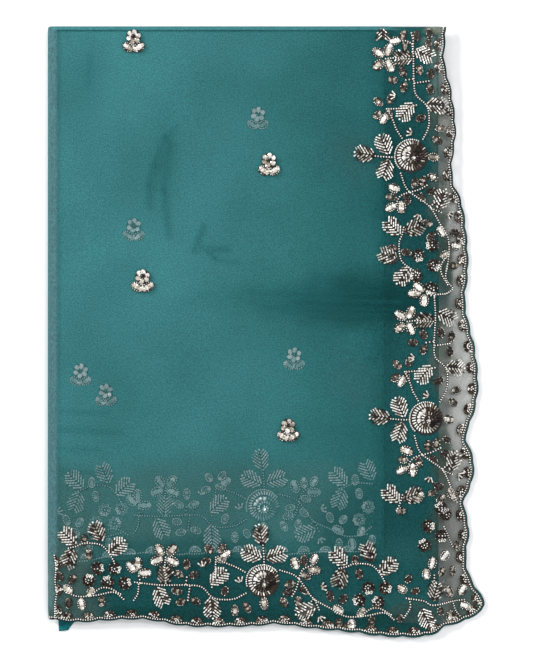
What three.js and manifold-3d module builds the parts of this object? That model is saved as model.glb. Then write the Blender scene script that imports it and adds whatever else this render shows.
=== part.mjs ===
// A sheer saree with a beaded scalloped border, folded flat into a bundle.
// Lengths are millimetres. +X runs across the bundle, +Y up to its lengthwise fold, +Z up from the surface.
// Places on the cloth are given as across and down, measured from the corner where its two folds meet.

import * as THREE from 'three';
import { mergeVertices } from 'three/addons/utils/BufferGeometryUtils.js';
import Module from 'manifold-3d';

const wasm = await Module();
wasm.setup();

// Driving sizes of the bundle
const BUNDLE_WIDTH = 437;
const BUNDLE_LENGTH = 611;
const SEAM_GAP = 0.3;

// Cloth walls
const TOP_WALL = 1.2;
const SECOND_WALL = 1.0;
const FOLD_RADIUS = 5;
const FOLD_TURN = THREE.MathUtils.degToRad(65);
const FOLD_START = (FOLD_RADIUS + TOP_WALL) * Math.sin(FOLD_TURN);

// The hidden panels of the bundle, from the surface upwards: how far each reaches on its four sides
const HIDDEN_LAYER_HEIGHT = 1.7;
const HIDDEN_LAYERS = [
  { left: 1.6, right: 389.6, upper: 1.8, lower: 589.5 },
  { left: 0.7, right: 391.4, upper: 0.9, lower: 591.5 },
  { left: 1.9, right: 390.2, upper: 1.4, lower: 587.0 },
  { left: 1.1, right: 391.0, upper: 2.2, lower: 588.5 },
  { left: 2.1, right: 389.0, upper: 1.0, lower: 584.5 },
  { left: 1.4, right: 390.4, upper: 1.9, lower: 582.0 },
  { left: 6.0, right: 388.6, upper: 6.0, lower: 578.5 },
];
const HIDDEN_HEIGHT = HIDDEN_LAYERS.length * HIDDEN_LAYER_HEIGHT;
const HIDDEN_CORNER = 7;
const HIDDEN_CORNER_TURNS = [0, 30, 60, 90];
const HIDDEN_SIDE_STRETCHES = 6;
const HIDDEN_TOP_INSET = 1.4;
const HIDDEN_SWAY = { depth: 0.7, turns: 9, perLevel: 2.1, perSide: 1.7 };

// One hidden panel's edge in section: share of its height, and how far it draws in
const HIDDEN_SECTION = [
  { rise: 0.0, inset: 1.3 },
  { rise: 0.25, inset: 0.3 },
  { rise: 0.6, inset: 0.0 },
  { rise: 0.9, inset: 0.5 },
];

// The second layer is the other half of the panel on top, and ends in the same scalloped edge
const SECOND = { left: 6.2, upper: 6.2, right: 336, lower: 519 };
const SECOND_BOTTOM = HIDDEN_HEIGHT + SEAM_GAP;
const SECOND_TOP = SECOND_BOTTOM + SECOND_WALL;
const SECOND_SCALLOP_RISE = 2;

// The top layer rests on the second, then on the hidden panels, and falls past them at two sides
const BEADWORK_ROOM = 0.9;
const STEP_WIDTH = 12;
const RIGHT_FALL = { start: 387, width: 27, level: 1.2 };
const LOWER_FALL = { start: 577, width: 27, level: 3.4 };

// Soft ridges pressed into the top layer: both ends, half width and height
const CREASES = [
  { across: 129, down: 100, toAcross: 101, toDown: 158, halfWidth: 11, height: 0.9 },
  { across: 101, down: 158, toAcross: 101, toDown: 182, halfWidth: 10, height: 0.7 },
  { across: 121, down: 122, toAcross: 116, toDown: 200, halfWidth: 10, height: 0.6 },
  { across: 151, down: 199, toAcross: 145, toDown: 222, halfWidth: 9, height: 0.6 },
  { across: 157, down: 223, toAcross: 190, toDown: 235, halfWidth: 10, height: 0.8 },
  { across: 205, down: 268, toAcross: 352, toDown: 276, halfWidth: 12, height: 0.9 },
  { across: 232, down: 291, toAcross: 340, toDown: 288, halfWidth: 10, height: 0.5 },
  { across: 18, down: 390, toAcross: 96, toDown: 398, halfWidth: 10, height: 0.6 },
  { across: 14, down: 436, toAcross: 74, toDown: 441, halfWidth: 10, height: 0.5 },
];

// Grid of the top layer: coarse over the field, close where it turns or falls
const FIELD_STEP = 20;
const FALL_STEP = 6;
const FOLD_STEPS = 3;
const OVERRUN = 12;
const NORMAL_STEP = 0.5;

// The scalloped edge, down the right side, round the corner and back along the lower side
const EDGE_POINTS = [
  { across: 396, down: -14 }, { across: 396, down: 0 }, { across: 394, down: 34 },
  { across: 401, down: 64 }, { across: 406, down: 104 }, { across: 402, down: 139 },
  { across: 404, down: 158 }, { across: 412, down: 174 }, { across: 418, down: 214 },
  { across: 419, down: 244 }, { across: 416, down: 274 }, { across: 419, down: 294 },
  { across: 426, down: 324 }, { across: 429, down: 364 }, { across: 424, down: 389 },
  { across: 417, down: 410 }, { across: 425, down: 436 }, { across: 422, down: 459 },
  { across: 415, down: 474 }, { across: 420, down: 504 }, { across: 417, down: 534 },
  { across: 422, down: 554 }, { across: 432, down: 570 }, { across: 436, down: 580 },
  { across: 427, down: 588 }, { across: 416, down: 594 }, { across: 397, down: 599 },
  { across: 387, down: 606 }, { across: 376, down: 609 }, { across: 337, down: 609 },
  { across: 307, down: 605 }, { across: 267, down: 601 }, { across: 227, down: 596 },
  { across: 207, down: 598 }, { across: 167, down: 599 }, { across: 137, down: 598 },
  { across: 97, down: 591 }, { across: 57, down: 592 }, { across: 27, down: 594 },
  { across: 0, down: 591 }, { across: -14, down: 591 },
];
const SCALLOP_PITCH = 21.7;
const SCALLOP_RISE = 1.6;
const SCALLOP_STEPS = 4;
const EDGE_DIVISIONS = 600;
const FAR_CORNER = { across: -14, down: -14 };

// The bead line sewn just inside the scalloped edge, with half a flower in each scallop
const BEAD_LINE_INSET = 1.8;
const BEAD_LINE_WIDTH = 2.6;
const BEAD_LINE_HEIGHT = 1.3;
const HALF_FLOWER = { reach: 6.6, halfWidth: 4.8, shoulderReach: 4.6, shoulder: 3.8, clear: 12 };

// Repeat of the border embroidery. along runs beside the edge, inward away from it, both from the rosette
const LEAF = { length: 22, width: 15, height: 1.4 };
const LEAF_SECTION = [
  { reach: -1, spread: 0 }, { reach: -0.72, spread: 0.78 }, { reach: -0.1, spread: 1 },
  { reach: 0.55, spread: 0.66 }, { reach: 1, spread: 0 },
];
const LEAF_FOOT = 0.4;
const STEM_WIDTH = 2.6;
const ROSETTE_RADIUS = 17;
const STEM_IN = [
  { along: -126, inward: -2 }, { along: -100, inward: -4 }, { along: -75, inward: -4 },
  { along: -61, inward: -6 }, { along: -49, inward: -17 }, { along: -30, inward: -18 },
  { along: -20.5, inward: -14 },
];
const LEAVES_IN = [
  { along: -98, inward: 6, turn: 85 }, { along: -102, inward: -15, turn: -65 },
  { along: -45, inward: 4, turn: 40 }, { along: -51, inward: -26, turn: -85 },
];
const STEM_OUT = [
  { along: 20, inward: 9 }, { along: 34, inward: 4 }, { along: 50, inward: -17 },
  { along: 68, inward: -27 }, { along: 84, inward: -33 }, { along: 104, inward: -33 },
  { along: 121, inward: -31 },
];
const LEAVES_OUT = [{ along: 43, inward: -29, turn: 200 }];
const CROWN_STEM = [{ along: 1, inward: 20.5 }, { along: 1, inward: 36 }];
const CROWN_LEAVES = [
  { along: -2, inward: 46, turn: 100 }, { along: -11, inward: 27, turn: 155 },
  { along: 13, inward: 26, turn: 18 },
];
const SPRIG_STEM = [
  { along: 83, inward: 15 }, { along: 92, inward: 18 }, { along: 109, inward: 16 },
  { along: 116, inward: 8 },
];
const SPRIG_LEAVES = [
  { along: 76, inward: 24, turn: 135 }, { along: 77, inward: 3, turn: -110 },
  { along: 105, inward: 29, turn: 115 }, { along: 124, inward: 14, turn: 40 },
];

// Where the repeat stands: its rosette's place, the way it runs, its lean outwards along the run, the
// stretch of it that the cloth holds, and how far inwards its sprig of leaves is shifted
const RUNS = [
  { name: 'right_1', across: 363, down: 130, downward: true, lean: 0.05, from: -108, to: 131, sprigShift: 0 },
  { name: 'right_2', across: 378, down: 392, downward: true, lean: -0.05, from: -108, to: 90, sprigShift: 7 },
  { name: 'lower', across: 215, down: 554, downward: false, lean: 0, from: -127, to: 131, sprigShift: 0 },
];
const FAR_SPRIG = { run: 'lower', shiftAlong: -270, shiftInward: 21 };
const CORNER_STEM = [{ across: 361, down: 571 }, { across: 380, down: 576 }, { across: 404, down: 575 }];
const CORNER_LEAVES = [
  { across: 387, down: 564, turn: 75 }, { across: 378, down: 586, turn: -65 },
];

// Round bead flowers of the border, and the small sprigs of the field
const FLOWER_LOBES = 7;
const BEAD_FLOWER = { radius: 6.6, lobe: 0.8, height: 2.2 };
const BEAD_FLOWERS = [
  { across: 386, down: 219 }, { across: 373, down: 229 }, { across: 388, down: 239 },
  { across: 371, down: 249 }, { across: 387, down: 262 }, { across: 380, down: 498 },
  { across: 397, down: 488 }, { across: 375, down: 517 }, { across: 393, down: 509 },
  { across: 319, down: 561 }, { across: 337, down: 560 }, { across: 312, down: 572 },
  { across: 332, down: 575 }, { across: 350, down: 576 }, { across: 81, down: 556 },
  { across: 67, down: 540 }, { across: 60, down: 557 }, { across: 48, down: 540 },
  { across: 38, down: 557 },
];
const FIELD_SPRIGS = [
  { across: 86, down: 16 }, { across: 221, down: 139 }, { across: 95, down: 255 },
  { across: 240, down: 404 },
];
const FIELD_FLOWER = { radius: 6.2, lobe: 0.6, up: 6.5 };
const FIELD_PETAL = { length: 13, width: 9, side: 6, below: 5, turn: 24 };
const FIELD_HEIGHT = 1.6;

// The corner of a lower panel that sticks out under the lower edge
const LOOSE_CORNER = [
  { across: 9, down: 590.1 }, { across: 10, down: 606 }, { across: 19, down: 605 },
  { across: 31, down: 590.1 },
];
const LOOSE_CORNER_BOTTOM = 0.1;
const LOOSE_CORNER_WALL = 1.3;

const CUTTER_BOTTOM = -20;
const CUTTER_HEIGHT = 60;

// Finishes
const FINISH = {
  topCloth: { color: 0x3f868b, roughness: 0.8, metalness: 0 },
  secondCloth: { color: 0x2f7377, roughness: 0.8, metalness: 0 },
  hiddenCloth: { color: 0x1c4f53, roughness: 0.85, metalness: 0 },
  beads: { color: 0x5a4632, roughness: 0.35, metalness: 0.6 },
  sequins: { color: 0xb9ab94, roughness: 0.3, metalness: 0.7 },
};

const materials = Object.fromEntries(
  Object.entries(FINISH).map(([name, finish]) => [name, new THREE.MeshStandardMaterial(finish)]),
);

// Helpers for places and solids
const place = (across, down) => [across - BUNDLE_WIDTH / 2, BUNDLE_LENGTH / 2 - down];
const smooth = (value) => THREE.MathUtils.smoothstep(value, 0, 1);

function toSolid(geometry) {
  const bare = geometry.index ? geometry.toNonIndexed() : geometry.clone();
  bare.deleteAttribute('normal');
  bare.deleteAttribute('uv');
  const merged = mergeVertices(bare, 1e-4);
  return new wasm.Manifold(new wasm.Mesh({
    numProp: 3,
    vertProperties: new Float32Array(merged.attributes.position.array),
    triVerts: new Uint32Array(merged.index.array),
  }));
}

function toGeometry(solid) {
  const mesh = solid.getMesh();
  const geometry = new THREE.BufferGeometry();
  geometry.setAttribute('position', new THREE.BufferAttribute(mesh.vertProperties, 3));
  geometry.setIndex(new THREE.BufferAttribute(mesh.triVerts, 1));
  geometry.computeVertexNormals();
  return geometry;
}

function named(name, geometry, material) {
  const mesh = new THREE.Mesh(geometry, material);
  mesh.name = name;
  return mesh;
}

// A tall upright prism over an outline given as across and down
function prism(outline) {
  const points = outline.map(({ across, down }) => new THREE.Vector2(...place(across, down)));
  if (THREE.ShapeUtils.area(points) < 0) points.reverse();
  const geometry = new THREE.ExtrudeGeometry(new THREE.Shape(points), {
    depth: CUTTER_HEIGHT,
    bevelEnabled: false,
  });
  return toSolid(geometry.translate(0, 0, CUTTER_BOTTOM));
}

const joined = (solids) => solids.reduce((sum, solid) => sum.add(solid));

// A closed wall between two grids of points with the same rows and columns, lower grid first
function wallBetween(under, over) {
  const rows = under.length;
  const columns = under[0].length;
  const positions = [...under.flat(), ...over.flat()].flat();
  const index = [];
  const lower = (row, column) => row * columns + column;
  const upper = (row, column) => rows * columns + lower(row, column);
  for (let row = 0; row < rows - 1; row += 1) {
    for (let column = 0; column < columns - 1; column += 1) {
      const [a, b, c, d] = [[0, 0], [0, 1], [1, 1], [1, 0]].map(([r, k]) => upper(row + r, column + k));
      index.push(a, c, b, a, d, c);
      const [e, f, g, h] = [[0, 0], [0, 1], [1, 1], [1, 0]].map(([r, k]) => lower(row + r, column + k));
      index.push(e, f, g, e, g, h);
    }
  }
  const rim = [];
  for (let column = 0; column < columns - 1; column += 1) rim.push([0, column]);
  for (let row = 0; row < rows - 1; row += 1) rim.push([row, columns - 1]);
  for (let column = columns - 1; column > 0; column -= 1) rim.push([rows - 1, column]);
  for (let row = rows - 1; row > 0; row -= 1) rim.push([row, 0]);
  rim.forEach(([row, column], i) => {
    const [nextRow, nextColumn] = rim[(i + 1) % rim.length];
    const [a, b] = [lower(row, column), lower(nextRow, nextColumn)];
    const [c, d] = [upper(nextRow, nextColumn), upper(row, column)];
    index.push(a, c, b, a, d, c);
  });
  const geometry = new THREE.BufferGeometry();
  geometry.setAttribute('position', new THREE.Float32BufferAttribute(positions, 3));
  geometry.setIndex(index);
  return geometry;
}

// How high the underside of the top layer lies
function creaseRise(across, down) {
  return CREASES.reduce((sum, crease) => {
    const start = new THREE.Vector2(crease.across, crease.down);
    const way = new THREE.Vector2(crease.toAcross, crease.toDown).sub(start);
    const spot = new THREE.Vector2(across, down).sub(start);
    const share = THREE.MathUtils.clamp(spot.dot(way) / way.lengthSq(), 0, 1);
    const distance = spot.addScaledVector(way, -share).length();
    return sum + crease.height * smooth(1 - distance / crease.halfWidth);
  }, 0);
}

function restHeight(across, down) {
  const overSecond = smooth((SECOND.right + STEP_WIDTH - across) / STEP_WIDTH)
    * smooth((SECOND.lower + STEP_WIDTH - down) / STEP_WIDTH);
  const onSecond = SECOND_TOP + BEADWORK_ROOM;
  const onHidden = HIDDEN_HEIGHT + 2 * SEAM_GAP;
  const resting = THREE.MathUtils.lerp(onHidden, onSecond, overSecond) + creaseRise(across, down);
  const pastRight = smooth((across - RIGHT_FALL.start) / RIGHT_FALL.width);
  const pastLower = smooth((down - LOWER_FALL.start) / LOWER_FALL.width);
  const fallen = THREE.MathUtils.lerp(resting, RIGHT_FALL.level, pastRight);
  return THREE.MathUtils.lerp(fallen, Math.min(fallen, LOWER_FALL.level), pastLower);
}

// A run of grid stops: round the fold first, then over the field, then close where the cloth falls
function gridStops(fallStart, end) {
  const stops = [];
  for (let i = 0; i < FOLD_STEPS; i += 1) stops.push(-FOLD_TURN * FOLD_RADIUS * (1 - i / FOLD_STEPS));
  const fieldEnd = fallStart - FOLD_START;
  const fieldCount = Math.round(fieldEnd / FIELD_STEP);
  for (let i = 0; i < fieldCount; i += 1) stops.push(fieldEnd * i / fieldCount);
  const fallCount = Math.round((end - fallStart) / FALL_STEP);
  for (let i = 0; i <= fallCount; i += 1) stops.push(fieldEnd + (end - fallStart) * i / fallCount);
  return stops;
}

// Where a distance past the fold's start lies: beyond zero on the flat, below zero round the fold
function foldPlace(distance) {
  if (distance >= 0) return { reach: FOLD_START + distance, drop: 0 };
  const turn = -distance / FOLD_RADIUS;
  return {
    reach: FOLD_START - FOLD_RADIUS * Math.sin(turn),
    drop: FOLD_RADIUS * (1 - Math.cos(turn)),
  };
}

function topPoint(columnStop, rowStop) {
  const column = foldPlace(columnStop);
  const row = foldPlace(rowStop);
  const height = restHeight(Math.max(column.reach, FOLD_START), Math.max(row.reach, FOLD_START));
  return new THREE.Vector3(...place(column.reach, row.reach), height - column.drop - row.drop);
}

function topNormal(columnStop, rowStop) {
  const alongX = topPoint(columnStop + NORMAL_STEP, rowStop)
    .sub(topPoint(columnStop - NORMAL_STEP, rowStop));
  const alongY = topPoint(columnStop, rowStop - NORMAL_STEP)
    .sub(topPoint(columnStop, rowStop + NORMAL_STEP));
  return alongX.cross(alongY).normalize();
}

const columnStops = gridStops(RIGHT_FALL.start, BUNDLE_WIDTH + OVERRUN);
const rowStops = gridStops(LOWER_FALL.start, BUNDLE_LENGTH + OVERRUN);

// The top layer's grid, moved out along its normals
function topGrid(offset) {
  return rowStops.map((rowStop) => columnStops.map((columnStop) => (
    topPoint(columnStop, rowStop).addScaledVector(topNormal(columnStop, rowStop), offset).toArray()
  )));
}

// The run of the scalloped edge, drawn in from the cloth's edge by inset
function edgeRun(inset) {
  const curve = new THREE.CatmullRomCurve3(
    EDGE_POINTS.map(({ across, down }) => new THREE.Vector3(across, down, 0)), false, 'centripetal');
  curve.arcLengthDivisions = EDGE_DIVISIONS;
  const count = Math.round(curve.getLength() / SCALLOP_PITCH);
  const run = [];
  for (let i = 0; i <= count * SCALLOP_STEPS; i += 1) {
    const share = i / (count * SCALLOP_STEPS);
    const spot = curve.getPointAt(share);
    const tangent = curve.getTangentAt(share);
    const bulge = SCALLOP_RISE * Math.sin(Math.PI * (i % SCALLOP_STEPS) / SCALLOP_STEPS);
    run.push({
      across: spot.x + (bulge - inset) * tangent.y,
      down: spot.y - (bulge - inset) * tangent.x,
      outward: { across: tangent.y, down: -tangent.x },
      middle: i % SCALLOP_STEPS === SCALLOP_STEPS / 2,
    });
  }
  return run;
}

const insideEdge = (inset) => prism([FAR_CORNER, ...edgeRun(inset)]);

// Outlines of the embroidery, each about its own place, turned anticlockwise
function turned(points, across, down, degrees) {
  const turn = THREE.MathUtils.degToRad(degrees);
  return points.map(([x, y]) => ({
    across: across + x * Math.cos(turn) - y * Math.sin(turn),
    down: down - x * Math.sin(turn) - y * Math.cos(turn),
  }));
}

function leafOutline({ across, down, turn }, length = LEAF.length, width = LEAF.width) {
  const near = LEAF_SECTION.map(({ reach, spread }) => [reach * length / 2, -spread * width / 2]);
  const far = near.slice(1, -1).reverse().map(([x, y]) => [x, -y]);
  return turned([...near, ...far], across, down, turn);
}

function lobedOutline({ across, down }, radius, lobe) {
  const steps = FLOWER_LOBES * 2;
  const shape = Array.from({ length: steps }, (_, i) => {
    const angle = 2 * Math.PI * i / steps;
    const reach = radius + (i % 2 ? -lobe : 0);
    return [reach * Math.cos(angle), reach * Math.sin(angle)];
  });
  return turned(shape, across, down, 0);
}

// One straight stretch of stem, a little longer than its ends so that the next one joins it
function stemStretch(start, end) {
  const way = new THREE.Vector2(end.across - start.across, end.down - start.down);
  const half = way.length() / 2 + STEM_WIDTH / 3;
  const side = STEM_WIDTH / 2;
  const turn = -THREE.MathUtils.radToDeg(way.angle());
  const shape = [[-half, -side], [half, -side], [half, side], [-half, side]];
  return turned(shape, (start.across + end.across) / 2, (start.down + end.down) / 2, turn);
}

const stemOutlines = (spots) => spots.slice(1).map((spot, i) => stemStretch(spots[i], spot));

// The leaf's foot, and the stalk from there to the nearest point of the stem
function stalkOutline(leaf, spots) {
  const turn = THREE.MathUtils.degToRad(leaf.turn);
  const reach = LEAF.length * LEAF_FOOT;
  const foot = {
    across: leaf.across - reach * Math.cos(turn),
    down: leaf.down + reach * Math.sin(turn),
  };
  const target = new THREE.Vector3(foot.across, foot.down, 0);
  const nearest = spots.slice(1).map((spot, i) => new THREE.Line3(
    new THREE.Vector3(spots[i].across, spots[i].down, 0),
    new THREE.Vector3(spot.across, spot.down, 0),
  ).closestPointToPoint(target, true, new THREE.Vector3()))
    .sort((a, b) => a.distanceTo(target) - b.distanceTo(target))[0];
  return stemStretch(foot, { across: nearest.x, down: nearest.y });
}

// From the repeat's own along and inward to a place on the cloth
function onRun(run, { along, inward, turn = 0 }) {
  if (run.downward) {
    return {
      across: run.across + run.lean * along - inward,
      down: run.down + along,
      turn: -90 - turn,
    };
  }
  return { across: run.across + along, down: run.down - inward, turn };
}

const underside = topGrid(0);
const clothTop = topGrid(TOP_WALL);
const topCloth = toSolid(wallBetween(underside, clothTop)).intersect(insideEdge(0));
const slabs = new Map();

// The space that work of one height takes up when it lies on the top layer
function slab(height) {
  if (!slabs.has(height)) {
    const grid = [TOP_WALL + SEAM_GAP, TOP_WALL + SEAM_GAP + height].map(topGrid);
    slabs.set(height, toSolid(wallBetween(...grid)));
  }
  return slabs.get(height);
}

const layOn = (outlines, height) => toGeometry(joined(outlines.map(prism)).intersect(slab(height)));

// Rings of the rounded stack of hidden panels
function hiddenRing(layer, { rise, inset }, level) {
  const left = layer.left + inset;
  const right = layer.right - inset;
  const upper = layer.upper + inset;
  const lower = layer.lower - inset;
  const corners = [
    { across: right - HIDDEN_CORNER, down: lower - HIDDEN_CORNER, from: 270 },
    { across: right - HIDDEN_CORNER, down: upper + HIDDEN_CORNER, from: 0 },
    { across: left + HIDDEN_CORNER, down: upper + HIDDEN_CORNER, from: 90 },
    { across: left + HIDDEN_CORNER, down: lower - HIDDEN_CORNER, from: 180 },
  ];
  const ring = [];
  corners.forEach((corner, k) => {
    HIDDEN_CORNER_TURNS.forEach((step) => {
      const turn = THREE.MathUtils.degToRad(corner.from + step);
      ring.push({
        across: corner.across + HIDDEN_CORNER * Math.cos(turn),
        down: corner.down - HIDDEN_CORNER * Math.sin(turn),
      });
    });
    const next = corners[(k + 1) % corners.length];
    const start = ring[ring.length - 1];
    const turn = THREE.MathUtils.degToRad(next.from);
    const end = {
      across: next.across + HIDDEN_CORNER * Math.cos(turn),
      down: next.down - HIDDEN_CORNER * Math.sin(turn),
    };
    for (let i = 1; i < HIDDEN_SIDE_STRETCHES; i += 1) {
      const share = i / HIDDEN_SIDE_STRETCHES;
      const phase = HIDDEN_SWAY.turns * share + HIDDEN_SWAY.perLevel * level + HIDDEN_SWAY.perSide * k;
      const sway = HIDDEN_SWAY.depth * Math.sin(Math.PI * share) * Math.sin(phase);
      const outward = THREE.MathUtils.degToRad(corner.from + 90);
      ring.push({
        across: THREE.MathUtils.lerp(start.across, end.across, share) - sway * Math.cos(outward),
        down: THREE.MathUtils.lerp(start.down, end.down, share) + sway * Math.sin(outward),
      });
    }
  });
  const height = (level + rise) * HIDDEN_LAYER_HEIGHT;
  return ring.map(({ across, down }) => [...place(across, down), height]);
}

function hiddenStack() {
  const rings = HIDDEN_LAYERS.flatMap((layer, level) => (
    HIDDEN_SECTION.map((section) => hiddenRing(layer, section, level))));
  const lastLevel = HIDDEN_LAYERS.length - 1;
  rings.push(hiddenRing(HIDDEN_LAYERS[lastLevel], { rise: 1, inset: HIDDEN_TOP_INSET }, lastLevel));
  const count = rings[0].length;
  const positions = rings.flat().flat();
  const index = [];
  for (let ring = 0; ring < rings.length - 1; ring += 1) {
    for (let i = 0; i < count; i += 1) {
      const next = (i + 1) % count;
      const [a, b] = [ring * count + i, ring * count + next];
      index.push(a, b, b + count, a, b + count, a + count);
    }
  }
  const middles = [[0, 0, 0], [0, 0, HIDDEN_HEIGHT]];
  positions.push(...middles.flat());
  const foot = rings.length * count;
  for (let i = 0; i < count; i += 1) {
    const next = (i + 1) % count;
    index.push(foot, next, i);
    index.push(foot + 1, foot - count + i, foot - count + next);
  }
  const geometry = new THREE.BufferGeometry();
  geometry.setAttribute('position', new THREE.Float32BufferAttribute(positions, 3));
  geometry.setIndex(index);
  return geometry;
}

// The second layer, flat on the stack, with its own scalloped lower edge
function secondLayer() {
  const { left, upper, right, lower } = SECOND;
  const count = Math.round((right - left) / SCALLOP_PITCH) * SCALLOP_STEPS;
  const scallops = Array.from({ length: count + 1 }, (_, i) => ({
    across: THREE.MathUtils.lerp(right, left, i / count),
    down: lower - SECOND_SCALLOP_RISE
      + SECOND_SCALLOP_RISE * Math.sin(Math.PI * (i % SCALLOP_STEPS) / SCALLOP_STEPS),
  }));
  const outline = [{ across: left, down: upper }, { across: right, down: upper }, ...scallops];
  const points = outline.map(({ across, down }) => new THREE.Vector2(...place(across, down)));
  const geometry = new THREE.ExtrudeGeometry(new THREE.Shape(points.reverse()), {
    depth: SECOND_WALL,
    bevelEnabled: false,
  });
  return toGeometry(toSolid(geometry.translate(0, 0, SECOND_BOTTOM)));
}

function looseCorner() {
  const points = LOOSE_CORNER.map(({ across, down }) => new THREE.Vector2(...place(across, down)));
  const geometry = new THREE.ExtrudeGeometry(new THREE.Shape(points), {
    depth: LOOSE_CORNER_WALL,
    bevelEnabled: false,
  });
  return toGeometry(toSolid(geometry.translate(0, 0, LOOSE_CORNER_BOTTOM)));
}

// The bead line follows the scallops, and each scallop holds half a flower
function beadLine() {
  const line = insideEdge(BEAD_LINE_INSET).subtract(insideEdge(BEAD_LINE_INSET + BEAD_LINE_WIDTH));
  const flowers = edgeRun(BEAD_LINE_INSET + BEAD_LINE_WIDTH / 2)
    .filter(({ middle, across, down }) => middle && Math.min(across, down) > HALF_FLOWER.clear)
    .map(({ across, down, outward }) => {
      const point = (side, reach) => ({
        across: across - outward.across * reach - outward.down * side,
        down: down - outward.down * reach + outward.across * side,
      });
      const { reach, halfWidth, shoulderReach, shoulder } = HALF_FLOWER;
      return prism([
        point(-halfWidth, 0), point(-shoulder, shoulderReach), point(0, reach),
        point(shoulder, shoulderReach), point(halfWidth, 0),
      ]);
    });
  return toGeometry(joined([line, ...flowers]).intersect(slab(BEAD_LINE_HEIGHT)));
}

// A stretch of vine: its stem, its leaves and the stalk of each
function vineOutlines(run, stem, leaves, shift = { along: 0, inward: 0 }) {
  const moved = (spot) => onRun(run, {
    ...spot,
    along: spot.along + shift.along,
    inward: spot.inward + shift.inward,
  });
  const spots = stem.map(moved);
  const placed = leaves.map(moved);
  return [
    ...stemOutlines(spots),
    ...placed.map((leaf) => leafOutline(leaf)),
    ...placed.map((leaf) => stalkOutline(leaf, spots)),
  ];
}

// A low dome of bead loops, hollowed underneath to lie clear of the cloth
const ROSETTE_PROFILE = [
  { radius: 0, rise: -6 }, { radius: ROSETTE_RADIUS, rise: -6 }, { radius: ROSETTE_RADIUS, rise: 1.2 },
  { radius: ROSETTE_RADIUS - 2, rise: 2.6 }, { radius: 10, rise: 3.6 }, { radius: 5, rise: 3.0 },
  { radius: 0, rise: 3.4 },
];
const ROSETTE_SIDES = 20;

function rosette({ across, down }) {
  const profile = ROSETTE_PROFILE.map(({ radius, rise }) => new THREE.Vector2(radius, rise));
  const dome = new THREE.LatheGeometry(profile, ROSETTE_SIDES).rotateX(Math.PI / 2);
  const [x, y] = place(across, down);
  dome.translate(x, y, restHeight(across, down) + TOP_WALL + SEAM_GAP);
  const floor = underside.map((row) => row.map(([px, py]) => [px, py, CUTTER_BOTTOM]));
  const under = toSolid(wallBetween(floor, topGrid(TOP_WALL + SEAM_GAP)));
  return toGeometry(toSolid(dome).subtract(under));
}

function fieldSprig({ across, down }) {
  const { length, width, side, below, turn } = FIELD_PETAL;
  const petals = [-1, 1].map((hand) => leafOutline(
    { across: across + hand * side, down: down + below, turn: hand > 0 ? turn : 180 - turn }, length, width));
  const { radius, lobe, up } = FIELD_FLOWER;
  const flower = lobedOutline({ across, down: down - up }, radius, lobe);
  const stem = stemStretch({ across, down: down - up }, { across, down: down + 2 * below });
  return layOn([flower, ...petals, stem], FIELD_HEIGHT);
}

// The whole bundle
const part = new THREE.Group();
part.name = 'saree';
part.add(named('hidden_layers', hiddenStack(), materials.hiddenCloth));
part.add(named('second_layer', secondLayer(), materials.secondCloth));
part.add(named('top_layer', toGeometry(topCloth), materials.topCloth));
part.add(named('loose_corner', looseCorner(), materials.hiddenCloth));
part.add(named('edge_bead_line', beadLine(), materials.beads));

RUNS.forEach((run) => {
  const shift = { along: 0, inward: run.sprigShift };
  const centre = onRun(run, { along: 0, inward: 0 });
  const held = ({ along }) => along >= run.from && along <= run.to;
  part.add(named(`rosette_${run.name}`, rosette(centre), materials.beads));
  const stretches = {
    vine_in: layOn(vineOutlines(run, STEM_IN.filter(held), LEAVES_IN), LEAF.height),
    vine_out: layOn(vineOutlines(run, STEM_OUT.filter(held), LEAVES_OUT), LEAF.height),
    crown_leaves: layOn(vineOutlines(run, CROWN_STEM, CROWN_LEAVES), LEAF.height),
    leaf_sprig: layOn(vineOutlines(run, SPRIG_STEM, SPRIG_LEAVES, shift), LEAF.height),
  };
  Object.entries(stretches).forEach(([name, geometry]) => {
    part.add(named(`${name}_${run.name}`, geometry, materials.beads));
  });
});

const farRun = RUNS.find(({ name }) => name === FAR_SPRIG.run);
const farShift = { along: FAR_SPRIG.shiftAlong, inward: FAR_SPRIG.shiftInward };
part.add(named('leaf_sprig_far', layOn(
  vineOutlines(farRun, SPRIG_STEM, SPRIG_LEAVES, farShift), LEAF.height), materials.beads));

part.add(named('corner_vine', layOn([
  ...stemOutlines(CORNER_STEM),
  ...CORNER_LEAVES.map((leaf) => leafOutline(leaf)),
  ...CORNER_LEAVES.map((leaf) => stalkOutline(leaf, CORNER_STEM)),
], LEAF.height), materials.beads));

BEAD_FLOWERS.forEach((spot, i) => {
  const outline = lobedOutline(spot, BEAD_FLOWER.radius, BEAD_FLOWER.lobe);
  part.add(named(`bead_flower_${i + 1}`, layOn([outline], BEAD_FLOWER.height), materials.beads));
});
FIELD_SPRIGS.forEach((spot, i) => {
  part.add(named(`field_sprig_${i + 1}`, fieldSprig(spot), materials.sequins));
});

// The origin goes to the middle of the bundle's box, on the surface
const box = new THREE.Box3().setFromObject(part);
const middle = box.getCenter(new THREE.Vector3());
part.position.set(-middle.x, -middle.y, -box.min.z);

export default part;
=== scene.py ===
"""A sheer teal saree, folded flat, with the beadwork of its scalloped border, in a plain studio."""

from __future__ import annotations

import logging
import math
import random
from dataclasses import dataclass, field
from enum import Enum

import bpy
import numpy as np
from mathutils import Matrix, Vector


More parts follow.
